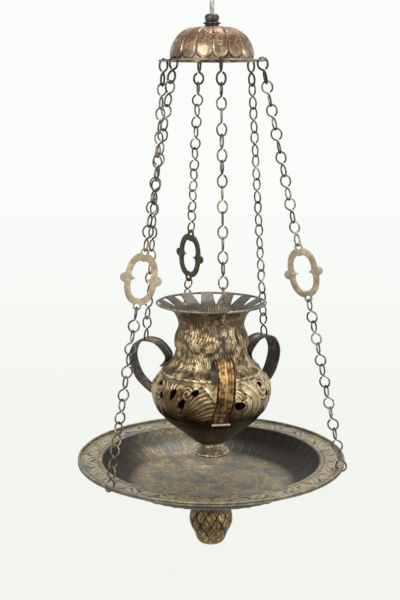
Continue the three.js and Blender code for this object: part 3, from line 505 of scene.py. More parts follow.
KNOB_Z, COLLAR_Z, BORE = -62.2, -67.1, 2.5
knob_side = through([[3.2, 7.4], [5.2, 6.9], [6.9, 5.0], [7.2, 3.0], [6.6, 0.9], [6.2, 0.0]], 5)
knob = turned_solid([[BORE, 0], [BORE, 7.4], *knob_side], 48, KNOB_Z)
solid("knob", knob, steel, "dark_fittings", "stem_knob")

collar_side = [[6.4, 4.6], [6.9, 4.2], [8.2, 3.9], [8.8, 3.3], [8.8, 2.9], [8.2, 2.5], [7.2, 2.2],
               [7.1, 1.5], [6.8, 0.7], [6.2, 0.0]]
collar = turned_solid([[BORE, 0], [BORE, 4.6], *collar_side], 48, COLLAR_Z)
solid("collar", collar, steel, "dark_fittings", "knob_collar")

# %% Washer and nut keep their shape
for name in ("canopy_washer", "canopy_nut"):
    nodes[name].data.materials.clear()
    nodes[name].data.materials.append(inner_brass.material)
print("washer and nut keep the model's mesh")


# %% [markdown]
# ## Sheets raised over a form
# Canopy, dish and vase are sheet metal, turned to a profile and then hammered from behind. So the
# pattern shows on both faces. The sheet is laid out as a flat grid first: azimuth one way, the
# length along the profile the other way. Openings are cut in that flat grid, where the points next
# to an opening are moved onto its edge. Then the grid is wrapped round the axis and its wall
# is added. Each point keeps five attributes, which node trees and materials read later: `along`,
# `outward`, `relief`, which the finish turns into painted shade and highlight, the share of a tint,
# which on the wall of the dish is painted shade, and `inside`.

# %% Distances on the flat layout
def clamp(value):
    return np.clip(value, 0, 1)


def ridge(distance, width):
    """1 at no distance, and soon 0 beyond the width."""
    return np.exp(-(distance / width) ** 2)


def angle_of(azimuth):
    """Azimuth 0 faces the viewer, along -Y."""
    return np.radians(azimuth - 90)


def wrapped(azimuth, centre, period=360.0):
    """Degrees from a centre line, between -period / 2 and period / 2."""
    return (azimuth - centre + period / 2) % period - period / 2


def even(line, spacing):
    """The same line with points at equal distances, and the length at each point."""
    steps = np.r_[0, np.cumsum(np.linalg.norm(np.diff(line, axis=0), axis=1))]
    along = np.linspace(0, steps[-1], max(int(steps[-1] / spacing), 2) + 1)
    return np.stack([np.interp(along, steps, line[:, k]) for k in (0, 1)], 1), along


print("10 mm at 1 mm make", len(even(np.array([[0, 0], [10, 0]]), 1.0)[1]), "points")

# %% Openings in the flat layout
SNAP_PASSES, SNAP_PROBE, SNAP_REACH = 4, 0.05, 1.2


def cut_openings(opening, line, along, azimuth, length, quads):
    """Drops the faces in the openings and moves the points beside them onto the edges."""
    def radius_at(place):
        return np.interp(place, along, line[:, 0])

    def measure(az, place):
        return opening(az, place, radius_at(place), np.interp(place, along, line[:, 1]))

    cut = (measure(azimuth, length) < 0).ravel()[quads].any(1)
    edge = np.intersect1d(quads[cut], quads[~cut])
    az, place = azimuth.flat[edge], length.flat[edge]
    for _ in range(SNAP_PASSES):
        f = measure(az, place)
        radius = np.maximum(radius_at(place), 1)
        fa = (measure(az + np.degrees(SNAP_PROBE / radius), place) - f) / SNAP_PROBE
        fl = (measure(az, place + SNAP_PROBE) - f) / SNAP_PROBE
        size = np.maximum(fa ** 2 + fl ** 2, 0.05)
        turn, slide = [np.clip(f * g / size, -SNAP_REACH, SNAP_REACH) for g in (fa, fl)]
        az = az - turn * np.degrees(1 / radius)
        place = np.clip(place - slide, 0, along[-1])
    azimuth.flat[edge], length.flat[edge] = az, place
    return quads[~cut]


print("edge points move in", SNAP_PASSES, "passes of", SNAP_REACH, "mm at most")

# %% The sheet
def sheet_piece(name, profile, relief, finish, lift, steps, spacing, wall, opening=None):
    """profile runs outwards or down; the wall is added on the side of the axis or below."""
    line, along = even(np.asarray(profile, float), spacing)
    tangent = unit(np.gradient(line, axis=0))
    azimuth, length = np.meshgrid(np.arange(steps) * 360.0 / steps - 180, along, indexing="ij")
    count = azimuth.size
    grid = np.arange(count).reshape(azimuth.shape)
    beside = np.roll(grid, -1, 0)
    quads = np.stack([grid[:, :-1], grid[:, 1:], beside[:, 1:], beside[:, :-1]], -1).reshape(-1, 4)
    if opening is not None:
        quads = cut_openings(opening, line, along, azimuth, length, quads)
    r, z, t_r, t_z = [np.interp(length, along, values) for values in (*line.T, *tangent.T)]
    n_r, n_z = -t_z, t_r
    height, shade, tint_share = relief(azimuth, length, r, z)
    angle = angle_of(azimuth)
    layers = []
    for inward in (0.0, wall):
        rr, zz = r + n_r * (height - inward), z + n_z * (height - inward) + lift
        layers.append(np.stack([rr * np.cos(angle), rr * np.sin(angle), zz], -1).reshape(-1, 3))
    faces = quads.tolist() + (quads[:, ::-1] + count).tolist()
    sides = dict.fromkeys(pair for a, b, c, d in quads.tolist()
                          for pair in ((a, b), (b, c), (c, d), (d, a)))
    faces += [(b, a, a + count, b + count) for a, b in sides if (b, a) not in sides]
    out = np.stack([n_r * np.cos(angle), n_r * np.sin(angle), n_z], -1).reshape(-1, 3)
    attributes = {
        "along": np.tile(length.ravel(), 2),
        "outward": np.vstack([out, out]),
        "relief": np.tile(clamp(shade.ravel()), 2),
        "tint_share": np.tile(clamp(tint_share.ravel()), 2),
        "inside": np.repeat([0.0, 1.0], count),
    }
    points = np.vstack(layers)
    faces = np.array(faces)
    keep = np.unique(faces)
    index = np.zeros(len(points), int)
    index[keep] = np.arange(len(keep))
    attributes = {key: values[keep] for key, values in attributes.items()}
    return new_piece(name, points[keep], index[faces], finish.material, attributes)


print("sheets can be made")

# %% Round holes, where the chains are hooked in
def holes_at(azimuths, radius, size):
    """Round holes in a level flange, at azimuths and a radius."""
    def measure(azimuth, _length, r, _z):
        near = np.full(np.shape(azimuth), 1e9)
        for centre in azimuths:
            across = np.radians(wrapped(azimuth, centre)) * r
            near = np.minimum(near, np.hypot(across, r - radius) - size)
        return near
    return measure


def nearest(*measures):
    return lambda *place: np.minimum.reduce([m(*place) for m in measures])


OUTER_AZIMUTHS = [-46, 74, 194]
INNER_AZIMUTHS = [-111, 9, 129]
print("chains leave the canopy at", sorted(OUTER_AZIMUTHS + INNER_AZIMUTHS))


# %% [markdown]
# ## Tongues
# The canopy has broad tongues with rounded ends and raised borders, the wall of the dish has narrow
# ones that end in small arches, and so has the lower bowl of the vase. They follow one rule, so one
# Geometry Nodes tree makes all three. For each point it finds how far it lies from the middle line
# of the nearest tongue, and lifts it along the sheet's outward direction.

# %% The tree of tongues
def tongue_tree():
    t = Tree("tongues on a turned sheet", "GeometryNodeTree")
    geometry = t.takes("Geometry", "Geometry")
    count, phase, start, end, share, soft, height, border, contrast = t.floats(
        Count=16.0, Phase=0.0, Start=0.0, End=40.0, Share=0.8, Softness=1.0, Height=1.0, Border=0.5,
        Contrast=1.0)
    material = t.takes("Material", "Material")

    def root_of_squares(a, b):
        return t.calc("SQRT", t.plus(t.times(a, a), t.times(b, b)))

    position = t.node("GeometryNodeInputPosition").outputs[0]
    x, y, _ = t.node("ShaderNodeSeparateXYZ", {"Vector": position}).outputs
    along = t.attribute("along")
    radius = t.times(root_of_squares(x, y), 1 / MM)
    turn = t.plus(t.times(t.calc("ARCTAN2", y, x), t.calc("DIVIDE", count, math.tau)), phase)
    half = t.calc("DIVIDE", t.times(radius, math.pi), count)
    across = t.times(t.times(t.calc("PINGPONG", turn, 0.5), 2.0), half)
    width = t.times(share, half)
    past = t.calc("MAXIMUM", t.minus(along, t.minus(end, width)), 0.0)
    distance = root_of_squares(across, past)
    inside = t.minus(width, distance)
    raised = t.ramp(inside, t.times(soft, -1.0), soft)

    def bell(value):
        q = t.calc("DIVIDE", value, soft)
        return t.calc("EXPONENT", t.times(t.times(q, q), -1.0))

    rib = bell(inside)
    groove = bell(t.plus(inside, t.times(soft, 1.6)))
    fade = t.ramp(along, start, t.plus(start, 6.0))
    rise = t.times(fade, t.plus(t.times(raised, height), t.times(rib, border)))
    # border ribs lighter and the grooves beside them darker: painted highlight and painted shade,
    # stored in relief
    tone = t.minus(t.times(rib, 0.45), t.times(groove, 0.5))
    tone = t.times(t.times(tone, contrast), fade)
    lifted = t.node("ShaderNodeVectorMath", {
        0: t.attribute("outward", "FLOAT_VECTOR"), "Scale": t.times(rise, MM),
    }, operation="SCALE")
    moved = t.node("GeometryNodeSetPosition", {"Geometry": geometry, "Offset": lifted.outputs[0]})
    stored = t.node("GeometryNodeStoreNamedAttribute", {
        "Geometry": moved.outputs[0], "Name": "relief",
    }, data_type="FLOAT", domain="POINT")
    value = next(s for s in stored.inputs if s.enabled and s.name == "Value")
    t.feed(t.plus(t.attribute("relief"), tone), value)
    t.coated(stored.outputs[0], material)
    return t


TONGUES = tongue_tree()


def raise_tongues(piece, finish, **values):
    run_tree(piece, TONGUES, {**values, "Material": finish.material})


print(TONGUES.tree.name, "has", len(TONGUES.tree.nodes), "nodes")


# %% [markdown]
# ## Canopy
# The canopy is a low dome with a level flange. Sixteen tongues run down it and end just above the
# flange. A slow wave in the sheet keeps it from looking machined.

# %% Canopy
CANOPY_Z = -100.4
DOME_R, DOME_HEIGHT, DOME_FLAT_R, DOME_ROUND = 41.0, 33.0, 9.5, 0.8
FLANGE_R, FLANGE_HOLE_R = 53.0, 2.4
FLANGE_HOLES = (OUTER_AZIMUTHS, 47.09), (INNER_AZIMUTHS, 48.26)

dome = [[DOME_FLAT_R + (DOME_R - DOME_FLAT_R) * math.cos(a) ** DOME_ROUND,
         DOME_HEIGHT * math.sin(a) ** DOME_ROUND] for a in np.linspace(np.pi / 2, 0.03, 40)]
canopy_profile = [[BORE, DOME_HEIGHT], [6, DOME_HEIGHT], *dome, [DOME_R + 0.6, 1.3],
                  [DOME_R + 2, 1.0], [FLANGE_R - 1, 1.0], [FLANGE_R, 1.0]]


def canopy_relief(azimuth, length, r, _z):
    dent = (0.25 * np.sin(np.radians(azimuth * 3 + 40)) * np.sin(length / 9)
            + 0.15 * np.sin(np.radians(azimuth * 7)))
    on_dome = clamp((DOME_R - r) / 4) * clamp((r - 10) / 6)
    shade = 0.5 + 0.1 * np.sin(np.radians(azimuth * 5 + 3 * length))
    return dent * on_dome - 0.9 * on_dome, shade, np.zeros_like(r)


flange_holes = nearest(*[holes_at(*place, FLANGE_HOLE_R) for place in FLANGE_HOLES])
canopy = sheet_piece("canopy_sheet", canopy_profile, canopy_relief, canopy_skin, CANOPY_Z,
                     steps=384, spacing=1.0, wall=1.0, opening=flange_holes)
raise_tongues(canopy, canopy_skin, Count=16.0, Phase=0.5, Start=10.0, End=57.0, Share=0.86,
              Softness=0.7, Height=0.9, Border=0.2, Contrast=0.7)
hand_over(canopy, "canopy_brass", "canopy")


# %% [markdown]
# ## Chains
# Each link is one piece of wire, bent into two loops that stand square to each other, so that every
# second loop faces the viewer. The tree takes one link as its geometry, lays copies along a line at
# the pitch of the chain, turns each by its share of the twist and a little at random, and then
# carries the whole run to where the chain hangs.

# %% One link
def link_shape(length, width, wire):
    """Middle line from +length / 2 to -length / 2; the upper loop stands in X and Z."""
    loop = (width - wire) / 2
    tall = (length / 2 - 0.6) / 2
    middle = length / 2 - tall
    angles = np.radians([156, 125, 90, 60, 30, 0, -30, -60, -90, -120, -152])
    upper = [[loop * math.sin(a) * (1 if abs(a) < 2.3 else 0.85), 0, middle + tall * math.cos(a)]
             for a in angles]
    lower = [[0, x, -z] for x, _, z in reversed(upper)]
    line = through([*upper, [0, 0, 0], *lower], 3)
    return carried(line, circle(wire, 8))


print("one link has", len(link_shape(24.75, 12.2, 1.8)[0]), "points")

# %% The tree of a chain
def chain_tree():
    t = Tree("run of links", "GeometryNodeTree")
    link = t.takes("Link", "Geometry")
    count = t.takes("Count", "Int", 7)
    pitch, first, twist, step, loose, slope, azimuth = t.floats(
        Pitch=23.7, First_Middle=0.0, First_Twist=0.0, Twist_Step=0.0, Looseness=6.0, Slope=0.0,
        Azimuth=0.0)
    pivot = t.takes("Pivot", "Vector")
    material = t.takes("Material", "Material")

    def pose(x=0.0, y=0.0, z=0.0):
        euler = t.node("ShaderNodeCombineXYZ", {0: x, 1: y, 2: z})
        return t.node("FunctionNodeEulerToRotation", {0: euler.outputs[0]}).outputs[0]

    def down(value):
        return t.node("ShaderNodeCombineXYZ", {2: t.times(value, -MM)}).outputs[0]

    line = t.node("GeometryNodeMeshLine", {"Count": count, "Offset": down(pitch)})
    index = t.node("GeometryNodeInputIndex").outputs[0]
    sway = t.node("FunctionNodeRandomValue", data_type="FLOAT")
    for socket in sway.inputs:
        if socket.enabled and socket.name in ("Min", "Max"):
            t.feed(t.times(loose, -1.0 if socket.name == "Min" else 1.0), socket)
        if socket.name == "Seed":
            t.feed(azimuth, socket)
    swayed = next(s for s in sway.outputs if s.enabled)
    turned = t.plus(t.plus(twist, t.times(index, step)), swayed)
    laid = t.node("GeometryNodeInstanceOnPoints", {
        "Points": line.outputs[0], "Instance": link, "Rotation": pose(z=t.calc("RADIANS", turned)),
    })
    lowered = t.node("GeometryNodeTransform", {
        "Geometry": laid.outputs[0], "Translation": down(t.times(first, -1.0)),
    })
    leant = t.node("GeometryNodeTransform", {
        "Geometry": lowered.outputs[0], "Translation": pivot,
        "Rotation": pose(y=t.calc("RADIANS", t.times(slope, -1.0)),
                         z=t.calc("RADIANS", t.minus(azimuth, 90.0))),
    })
    t.coated(leant.outputs[0], material)
    return t


CHAIN = chain_tree()
print(CHAIN.tree.name, "has", len(CHAIN.tree.nodes), "nodes")


# %% [markdown]
# The outer chains lean by about 12 degrees, the inner ones by about 4. The joints of the record
# give the point each chain hangs from. The links of an outer chain turn step by step, so that its
# plaque ends up turned to one side, as chains that were hooked in by hand do.

# %% Where the chains hang
OUTER_SLOPE, INNER_SLOPE = 12.119, 4.454
OUTER_PIVOT, INNER_PIVOT = (50.154, -97.486), (51.326, -97.845)
OUTER_WIDTH, INNER_WIDTH, LOOSENESS = 12.2, 10.8, 7.0
PLAQUE_TWISTS = [-29, -12, 31]
print("the chains lean by", OUTER_SLOPE, "and", INNER_SLOPE, "degrees")


def pivot_at(azimuth, pivot):
    a = angle_of(azimuth)
    return Vector((pivot[0] * math.cos(a), pivot[0] * math.sin(a), pivot[1])) * MM


def hang(name, node, chain, finish, length, wire, count, pitch, first, twist, step):
    azimuth, slope, pivot, width = chain
    piece = outward(new_piece(name, *link_shape(length, width, wire), finish.material))
    run_tree(piece, CHAIN, {
        "Count": count, "Pitch": pitch, "First Middle": first, "First Twist": twist,
        "Twist Step": step, "Looseness": LOOSENESS if count > 1 else 0.0, "Slope": slope,
        "Azimuth": float(azimuth), "Pivot": pivot_at(azimuth, pivot), "Material": finish.material,
    })
    hand_over(piece, "chain_wire", node)


# %% Outer chains
# piece, node, finish, link length and wire, links, pitch, middle of the first link below the pivot,
# its twist, its share of the plaque's turn, and the share that each link adds
SIXTH = 1 / 6
OUTER_PARTS = [
    ("outer_hook", "outer_top_link", wire_dark, 25.2, 2.2,
     1, 23.3, -12.6, 0, 0, 0),
    ("outer_run_upper", "outer_upper_chain", wire_worn, 24.75, 1.8,
     7, 23.3, -35.275, 0, 0, SIXTH),
    ("outer_run_lower", "outer_lower_chain", wire_worn, 23.95, 1.8,
     7, 22.5, -254.125, 90, 1, -SIXTH),
    ("dish_hook", "dish_link", wire_worn, 24.3, 1.8,
     1, 22.5, -410.75, 90, 0, 0),
]
for n, (azimuth, turn) in enumerate(zip(OUTER_AZIMUTHS, PLAQUE_TWISTS), 1):
    for name, node, *part, twist, start, step in OUTER_PARTS:
        hang(f"{name}_{n}", f"{node}_{n}", (azimuth, OUTER_SLOPE, OUTER_PIVOT, OUTER_WIDTH),
             *part, float(twist + start * turn), float(step * turn))

# %% Inner chains
INNER_PARTS = [
    ("inner_hook", "inner_top_link", wire_dark, 26.2, 2.2, 1, 24.3, -13.1),
    ("inner_run", "inner_chain", wire_worn, 25.75, 1.8, 10, 24.3, -36.775),
    ("handle_hook", "handle_link", wire_dark, 26.1, 1.8, 1, 24.3, -278.9),
]
for n, azimuth in enumerate(INNER_AZIMUTHS, 1):
    for name, node, *part in INNER_PARTS:
        hang(f"{name}_{n}", f"{node}_{n}", (azimuth, INNER_SLOPE, INNER_PIVOT, INNER_WIDTH), *part,
             0.0, 0.0)


# %% [markdown]
# ## Plaques
# A plaque was cast: an oval band with a knob at each side, and an opening that is pinched at the
# waist by two pointed cusps. It is drawn as a flat 2D curve. Blender fills it, gives it its
# thickness and rounds its edges, and the result becomes a mesh before it is put in its place.

# %% The outlines of a plaque
PLAQUE_THICKNESS, PLAQUE_ROUNDING, PLAQUE_EYE_Z, PLAQUE_Z = 2.6, 0.6, 26.05, -214.8
KNOB_AT, KNOB_R, EYE_BOSS_R, EYE_HOLE_R = 16.0, 4.6, 4.4, 2.5
OUTER_OVAL, INNER_OVAL = (16, 25.2, 2.3), (10.2, 18.6, 2.4)
SIDE_CUSP, TOP_CUSP = (5.2, 0.17), (1.8, 0.16)


def far_side(direction, centre, radius):
    """How far a ray from the origin reaches a circle's far side, or 0 where it misses."""
    near = direction @ np.asarray(centre)
    depth = radius ** 2 - (np.dot(centre, centre) - near ** 2)
    return np.where((depth > 0) & (near > 0), near + np.sqrt(np.maximum(depth, 0)), 0)


def oval_reach(angle, half_width, half_height, power):
    c, s = np.abs(np.cos(angle)), np.abs(np.sin(angle))
    return ((c / half_width) ** power + (s / half_height) ** power) ** (-1 / power)


def plaque_loops():
    a = np.linspace(0, 2 * np.pi, 144, endpoint=False)
    direction = np.stack([np.cos(a), np.sin(a)], 1)
    outer = oval_reach(a, *OUTER_OVAL)
    for side in (1, -1):
        for x, y, radius in ((side * KNOB_AT, 0, KNOB_R), (0, side * PLAQUE_EYE_Z, EYE_BOSS_R)):
            outer = np.maximum(outer, far_side(direction, (x, y), radius))
    inner = oval_reach(a, *INNER_OVAL)
    inner = inner - SIDE_CUSP[0] * np.exp(-np.abs(np.sin(a)) / SIDE_CUSP[1])
    inner = inner - TOP_CUSP[0] * np.exp(-np.abs(np.cos(a)) / TOP_CUSP[1]) * (np.sin(a) > 0)
    eye = np.linspace(0, 2 * np.pi, 20, endpoint=False)
    ring = np.stack([np.cos(eye), np.sin(eye)], 1) * EYE_HOLE_R
    return [direction * outer[:, None], direction * inner[:, None],
            ring + [0, PLAQUE_EYE_Z], ring - [0, PLAQUE_EYE_Z]]


print("a plaque has", len(plaque_loops()), "outlines")

# %% Plaques
def flat_casting(name, loops, thickness, rounding):
    curve = bpy.data.curves.new(name, "CURVE")
    curve.dimensions = "2D"
    curve.fill_mode = "BOTH"
    curve.extrude = (thickness / 2 - rounding) * MM
    curve.bevel_depth = rounding * MM
    curve.bevel_resolution = 2
    curve.offset = -rounding * MM
    for loop in loops:
        spline = curve.splines.new("POLY")
        spline.points.add(len(loop) - 1)
        spline.use_cyclic_u = True
        for point, (x, y) in zip(spline.points, loop):
            point.co = (x * MM, y * MM, 0, 1)
    holder = placed(name, curve)
    filled = holder.evaluated_get(bpy.context.evaluated_depsgraph_get())
    mesh = bpy.data.meshes.new_from_object(filled)
    bpy.data.objects.remove(holder)
    return outward(placed(name, mesh))


def rotation(degrees, axis):
    return Matrix.Rotation(math.radians(degrees), 4, axis)


for n, (azimuth, turn) in enumerate(zip(OUTER_AZIMUTHS, PLAQUE_TWISTS), 1):
    piece = flat_casting(f"openwork_plaque_{n}", plaque_loops(), PLAQUE_THICKNESS, PLAQUE_ROUNDING)
    dressed(piece.data, (plaque_dark if n == 3 else plaque_pale).material, sharp=35)
    piece.data.transform(
        Matrix.Translation(pivot_at(azimuth, OUTER_PIVOT)) @ rotation(azimuth - 90, "Z")
        @ rotation(-OUTER_SLOPE, "Y") @ Matrix.Translation((0, 0, PLAQUE_Z * MM))
        @ rotation(turn, "Z") @ rotation(90, "X"))
    hand_over(piece, "plaque_brass", f"plaque_{n}")


# %% [markdown]
# ## Dish
# The dish has a shallow floor, a fluted wall and a wide level rim. A band of leaves and curls is
# engraved all round the rim, and a raised ring with a flower lies in the middle of the floor. Both
# are made in the sheet itself, and the tree of tongues makes the flutes. The wall is the darkest
# part: it carries painted shade, apart from one side, where less is painted, so that side reads as
# lit.

# %% Dish
DISH_Z, DISH_HOLES, SHEET_WALL = -507.925, (133.78, 2.2), 1.3
MEDALLION_R, FLOWER_R = 49, 28
BAND_R, BAND_START, BAND_END, GROOVES = 126.5, 119.5, 133.5, (118.5, 134.5)
LIT_WALL_AZIMUTH = -152

dish_profile = through([[2.8, -30], [12, -30], [30, -29.3], [45, -28.2], [70, -26.3], [90, -24],
                        [103.2, -17.3], [111.1, -7.2], [114, -0.6]], 12).tolist()
dish_profile += [[114.6, -0.1], [115.4, 0], [139, 0], [140, 0]]


def dish_relief(azimuth, length, r, _z):
    a = np.radians(azimuth)
    ring = ridge(r - MEDALLION_R, 1.6)
    petal = np.cos(a * 12) * ridge(r - FLOWER_R, 10)
    vein = ridge(np.abs(np.sin(a * 6)) * r, 2.2) * (r > 12) * (r < 40)
    groove = ridge(r - GROOVES[0], 0.8) + ridge(r - GROOVES[1], 0.7)
    wave = 0.5 * np.sin(a * 2 + 0.5) * clamp((r - 60) / 80)
    band = clamp((r - BAND_START) / 1.5) * clamp((BAND_END - r) / 1.5)
    swing = np.sin(a * 22)
    stem = np.abs(r - BAND_R - 4.2 * swing)
    curl = np.cos((r - BAND_R) * 0.9 * swing + a * 88 + 1.6 * np.sin(a * 7))
    engraving = band * (ridge(stem, 0.9) + 0.9 * curl)
    height = (0.7 * ring + 0.35 * petal - 0.25 * vein - 0.35 * groove
              + 0.25 * np.sin(r / 7) * (r < 110))
    shade = (0.56 + 0.16 * ring + 0.1 * petal - 0.2 * vein - 0.3 * groove - 0.36 * engraving
             + 0.17 * band)
    # The wall carries painted shade. On one side, where the light falls, less is painted: a painted
    # lit side. A faint darker ring lies round the medallion.
    wall = clamp((r - 66) / 24) ** 2 * clamp((116.5 - r) / 3)
    lit_wall = 0.6 * ridge(wrapped(azimuth, LIT_WALL_AZIMUTH), 34)
    tint_share = wall * (0.9 + 0.1 * np.sin(a * 3 + 1) - lit_wall) + 0.13 * ridge(r - MEDALLION_R, 14)
    return height + 0.4 * wave * (r < 112) - 0.2 * engraving, shade, tint_share


dish = sheet_piece("dish_sheet", dish_profile, dish_relief, dish_skin, DISH_Z, steps=480,
                   spacing=1.5, wall=SHEET_WALL, opening=holes_at(OUTER_AZIMUTHS, *DISH_HOLES))
raise_tongues(dish, dish_skin, Count=56.0, Phase=0.0, Start=84.0, End=118.5, Share=0.8,
              Softness=0.9, Height=0.6, Border=0.3, Contrast=0.45)
hand_over(dish, "dish_silvered", "dish")

BEAD_R, BEAD_Z, EDGE_WIRE = 138.8, -506.43, 2.4
bead = carried(hoop(BEAD_R, 200) + [0, 0, BEAD_Z], circle(EDGE_WIRE, 8), closed=True)
solid("dish_edge_wire", bead, dish_skin, "dish_silvered", "dish_bead")

# %% [markdown]
# A rivet joins the floor of the dish to what hangs below. It is round all the way, so one turned
# outline makes its head, its shank and the end that was hammered over.

# %% Rivet in the middle of the dish
rivet_outline = [[0, -535.7], [2.5, -535.8], [4.4, -536.3], [5.7, -537.1], [6, -537.62],
                 [2.5, -537.62], [2.5, -541.4], [5, -541.45], [3, -542.95], [0, -543.02]]
solid("dish_rivet", turned_solid(rivet_outline, 32), dish_skin, "dark_fittings", "centre_rivet")

# %% [markdown]
# ## Pendant
# Under the dish hangs a hollow bell on a dark collar. Its engraving is a net of diamonds with a
# small leaf in each, cut as fine grooves.

# %% Pendant
COLLAR_TOP, SHELL_DROP = -539.525, 16.3

pendant_side = through([[15, 0], [14.2, -2.8], [13.5, -5.6], [14.4, -9], [15.3, -12],
                        [15.75, -16]], 4)
pendant_outline = [[2.8, 0], *pendant_side, [11, -16], [11, -24], [9.4, -24], [9.4, -1.6],
                   [2.8, -1.6]]
solid("pendant_neck", turned_solid(pendant_outline, 64, COLLAR_TOP), wire_dark, "dark_fittings",
      "pendant_collar")


def diamond_relief(azimuth, length, _r, _z):
    across, down = np.radians(azimuth) * 12, (length - 6) / 9.5 * math.pi
    net = np.minimum(np.abs(np.sin((across + down) / 2)), np.abs(np.sin((across - down) / 2)))
    line = ridge(net, 0.2)
    leaf = ridge(np.abs(np.sin(across)), 0.3) * (net > 0.3)
    band = ridge(length - 3.5, 1.0)
    fade = clamp((46 - length) / 8)
    shade = 0.66 - 0.6 * line * fade - 0.35 * leaf * fade - 0.4 * band
    return (-0.5 * line - 0.3 * leaf) * fade - 0.3 * band, shade, band


bell_profile = through([[13.86, 0], [19.8, -6.6], [23, -22], [17.5, -36], [12.6, -45.75],
                        [0.4, -49]], 12)
bell = sheet_piece("pendant_shell", bell_profile, diamond_relief, pendant_gold,
                   COLLAR_TOP - SHELL_DROP, steps=216, spacing=0.8, wall=1.6)
hand_over(bell, "vase_brass", "pendant_bell")


# %% [markdown]
# ## Vase
# The vase was raised in two parts that meet in a seam over the belly. Both are pierced: the neck by
# slots from its edge, the belly by torn, rounded openings. Each opening is a formula that is below
# zero inside it. The belly's openings and scrolls are the same over each third of the vase, counted
# from a handle, because the three handles divide it.

# %% Openings of the vase
VASE_Z = -342.7135
HANDLE_AZIMUTH = 9
SEAM_DEPTH, DARK_SIDE_AZIMUTH = 72.3, -34
RIM_OPENINGS, RIM_OPENING_HALF, RIM_OPENING_DEPTH = 14, 5.8, 10
BELLY_OPENINGS = [
    # degrees from the handle, drop below the seam, width, height, lean
    (18, 22.5, 13, 9, -10), (48, 6, 7, 5, 0), (56, 16.5, 6, 7, 0), (55, 34.5, 5, 9, 0),
    (-38, 21, 7, 13, -24), (-49, 12.5, 6, 12, -24), (-25, 9, 8, 6, 20),
]


def belly_openings(azimuth, _length, r, z):
    near = np.full(np.shape(azimuth), 1e9)
    for i, (centre, drop, width, height, lean) in enumerate(BELLY_OPENINGS):
        x = np.radians(wrapped(azimuth, HANDLE_AZIMUTH + centre, 120)) * r
        y = z + SEAM_DEPTH + drop
        c, s = math.cos(math.radians(lean)), math.sin(math.radians(lean))
        u, v = (x * c + y * s) / (width / 2), (y * c - x * s) / (height / 2)
        around = np.arctan2(v, u)
        torn = 1 + 0.1 * np.sin(3 * around + i) + 0.05 * np.sin(7 * around + 2 * i)
        near = np.minimum(near, (np.hypot(u, v) - torn) * min(width, height) / 2)
    return near


def rim_openings(azimuth, _length, r, z):
    x = np.abs(np.radians(wrapped(azimuth, INNER_AZIMUTHS[0], 360 / RIM_OPENINGS)) * r)
    half = RIM_OPENING_HALF * (1 + z / RIM_OPENING_DEPTH)
    return np.maximum((x - half) * 0.87, -RIM_OPENING_DEPTH - z)


print(len(BELLY_OPENINGS), "openings in each third of the belly,", RIM_OPENINGS, "in the neck")

# %% [markdown]
# Two rows of drooping leaves cover the neck, with strands that run down to each tip. A leaf is
# drawn in two numbers, `t` down the leaf and `u` across it, so one function makes a whole row, and
# the upper row lies over the lower one.

# %% A row of leaves
def leaf_row(azimuth, depth, top, tip, count, phase, flare):
    """Height, shade and mask of one row of drooping leaves, with strands that run to each tip."""
    t = clamp((depth - top) / (tip - top))
    index = np.round(wrapped(azimuth, phase) * count / 360)
    u = wrapped(azimuth, phase, 360 / count) / (180 / count)
    u = u + 0.16 * np.sin(index * 2.4 + 1) * t ** 2 + 0.05 * np.sin(depth / 2.3 + index * 1.7)
    width = 1.02 * np.sqrt(clamp(1 - clamp((t - 0.5) / 0.5) ** 2.4))
    inside = (np.abs(u) < width) & (depth > top) & (depth < tip)
    q = u / np.maximum(width, 0.05)
    body = np.sqrt(clamp(1 - q ** 2))
    fan = q * (1 + flare * (1 - t)) / (1 + flare)
    strand = np.cos(math.tau * (fan * 3.1 + 0.2 * np.sin(depth / 2.4 + index) + 0.35 * t * t))
    parting = ridge(q, 0.13) * t
    swell = clamp(t * 1.5) ** 1.3
    height = (1.3 * body * swell + 0.3 * strand * body - 0.35 * parting) * inside
    tuft = ridge(t - 0.8, 0.14) * body
    shade = (0.47 + 0.15 * strand * (0.4 + 0.6 * t) + 0.26 * tuft - 0.2 * parting
             - 0.22 * (1 - body) * t)
    return height, np.where(inside, shade, 0.4), inside


print("a leaf rises by", round(leaf_row(16, 60, 38, 70, 12, 16, -0.35)[0], 2), "mm")

# %% Upper part of the vase
def vase_upper_relief(azimuth, length, r, z):
    depth = -z
    lower = leaf_row(azimuth, depth, 38, 70, 12, 16.0, -0.35)
    upper = leaf_row(azimuth, depth, 11, 47, 12, 1.0, 0.2)
    height = np.where(upper[2], upper[0] + 0.3, lower[0])
    shade = np.where(upper[2], upper[1], lower[1])
    flare = clamp((15 - depth) / 6)
    lip = ridge(depth - 70.6, 0.8) * (1 + 0.5 * np.cos(np.radians(azimuth * 36)))
    height = height * (1 - flare) + 0.6 * lip
    shade = shade * (1 - flare) + 0.5 * flare
    return height, shade * (1 - lip * 0.7) + 0.7 * lip, flare


upper_profile = through([[54.5, 0.6], [39.45, -8.8], [33, -22], [36.5, -36.5], [36.5, -51],
                         [41.25, -62.6], [49, -68], [52.6, -72]], 12)
vase_upper = sheet_piece("vase_neck", upper_profile, vase_upper_relief, neck_gold, VASE_Z,
                         steps=420, spacing=0.95, wall=SHEET_WALL, opening=rim_openings)
hand_over(vase_upper, "vase_brass", "vase_upper")

# %% [markdown]
# The belly has scrolls: ridges that wind round a few centres. Each family of lines is a formula of
# the distance from its own centre and of the turn round it. They are laid one after the other, and
# a later family covers an earlier one, as in a drawing.

# %% Lines of the scrolls
def waves(cycles):
    """0 at each whole number of cycles and 1 midway between."""
    return 0.5 - 0.5 * np.cos(math.tau * cycles)


def line_of(cycles, breadth=0.3):
    """1 in a narrow groove at each whole number of cycles, and 0 between."""
    return ridge(np.sin(np.pi * cycles), breadth)


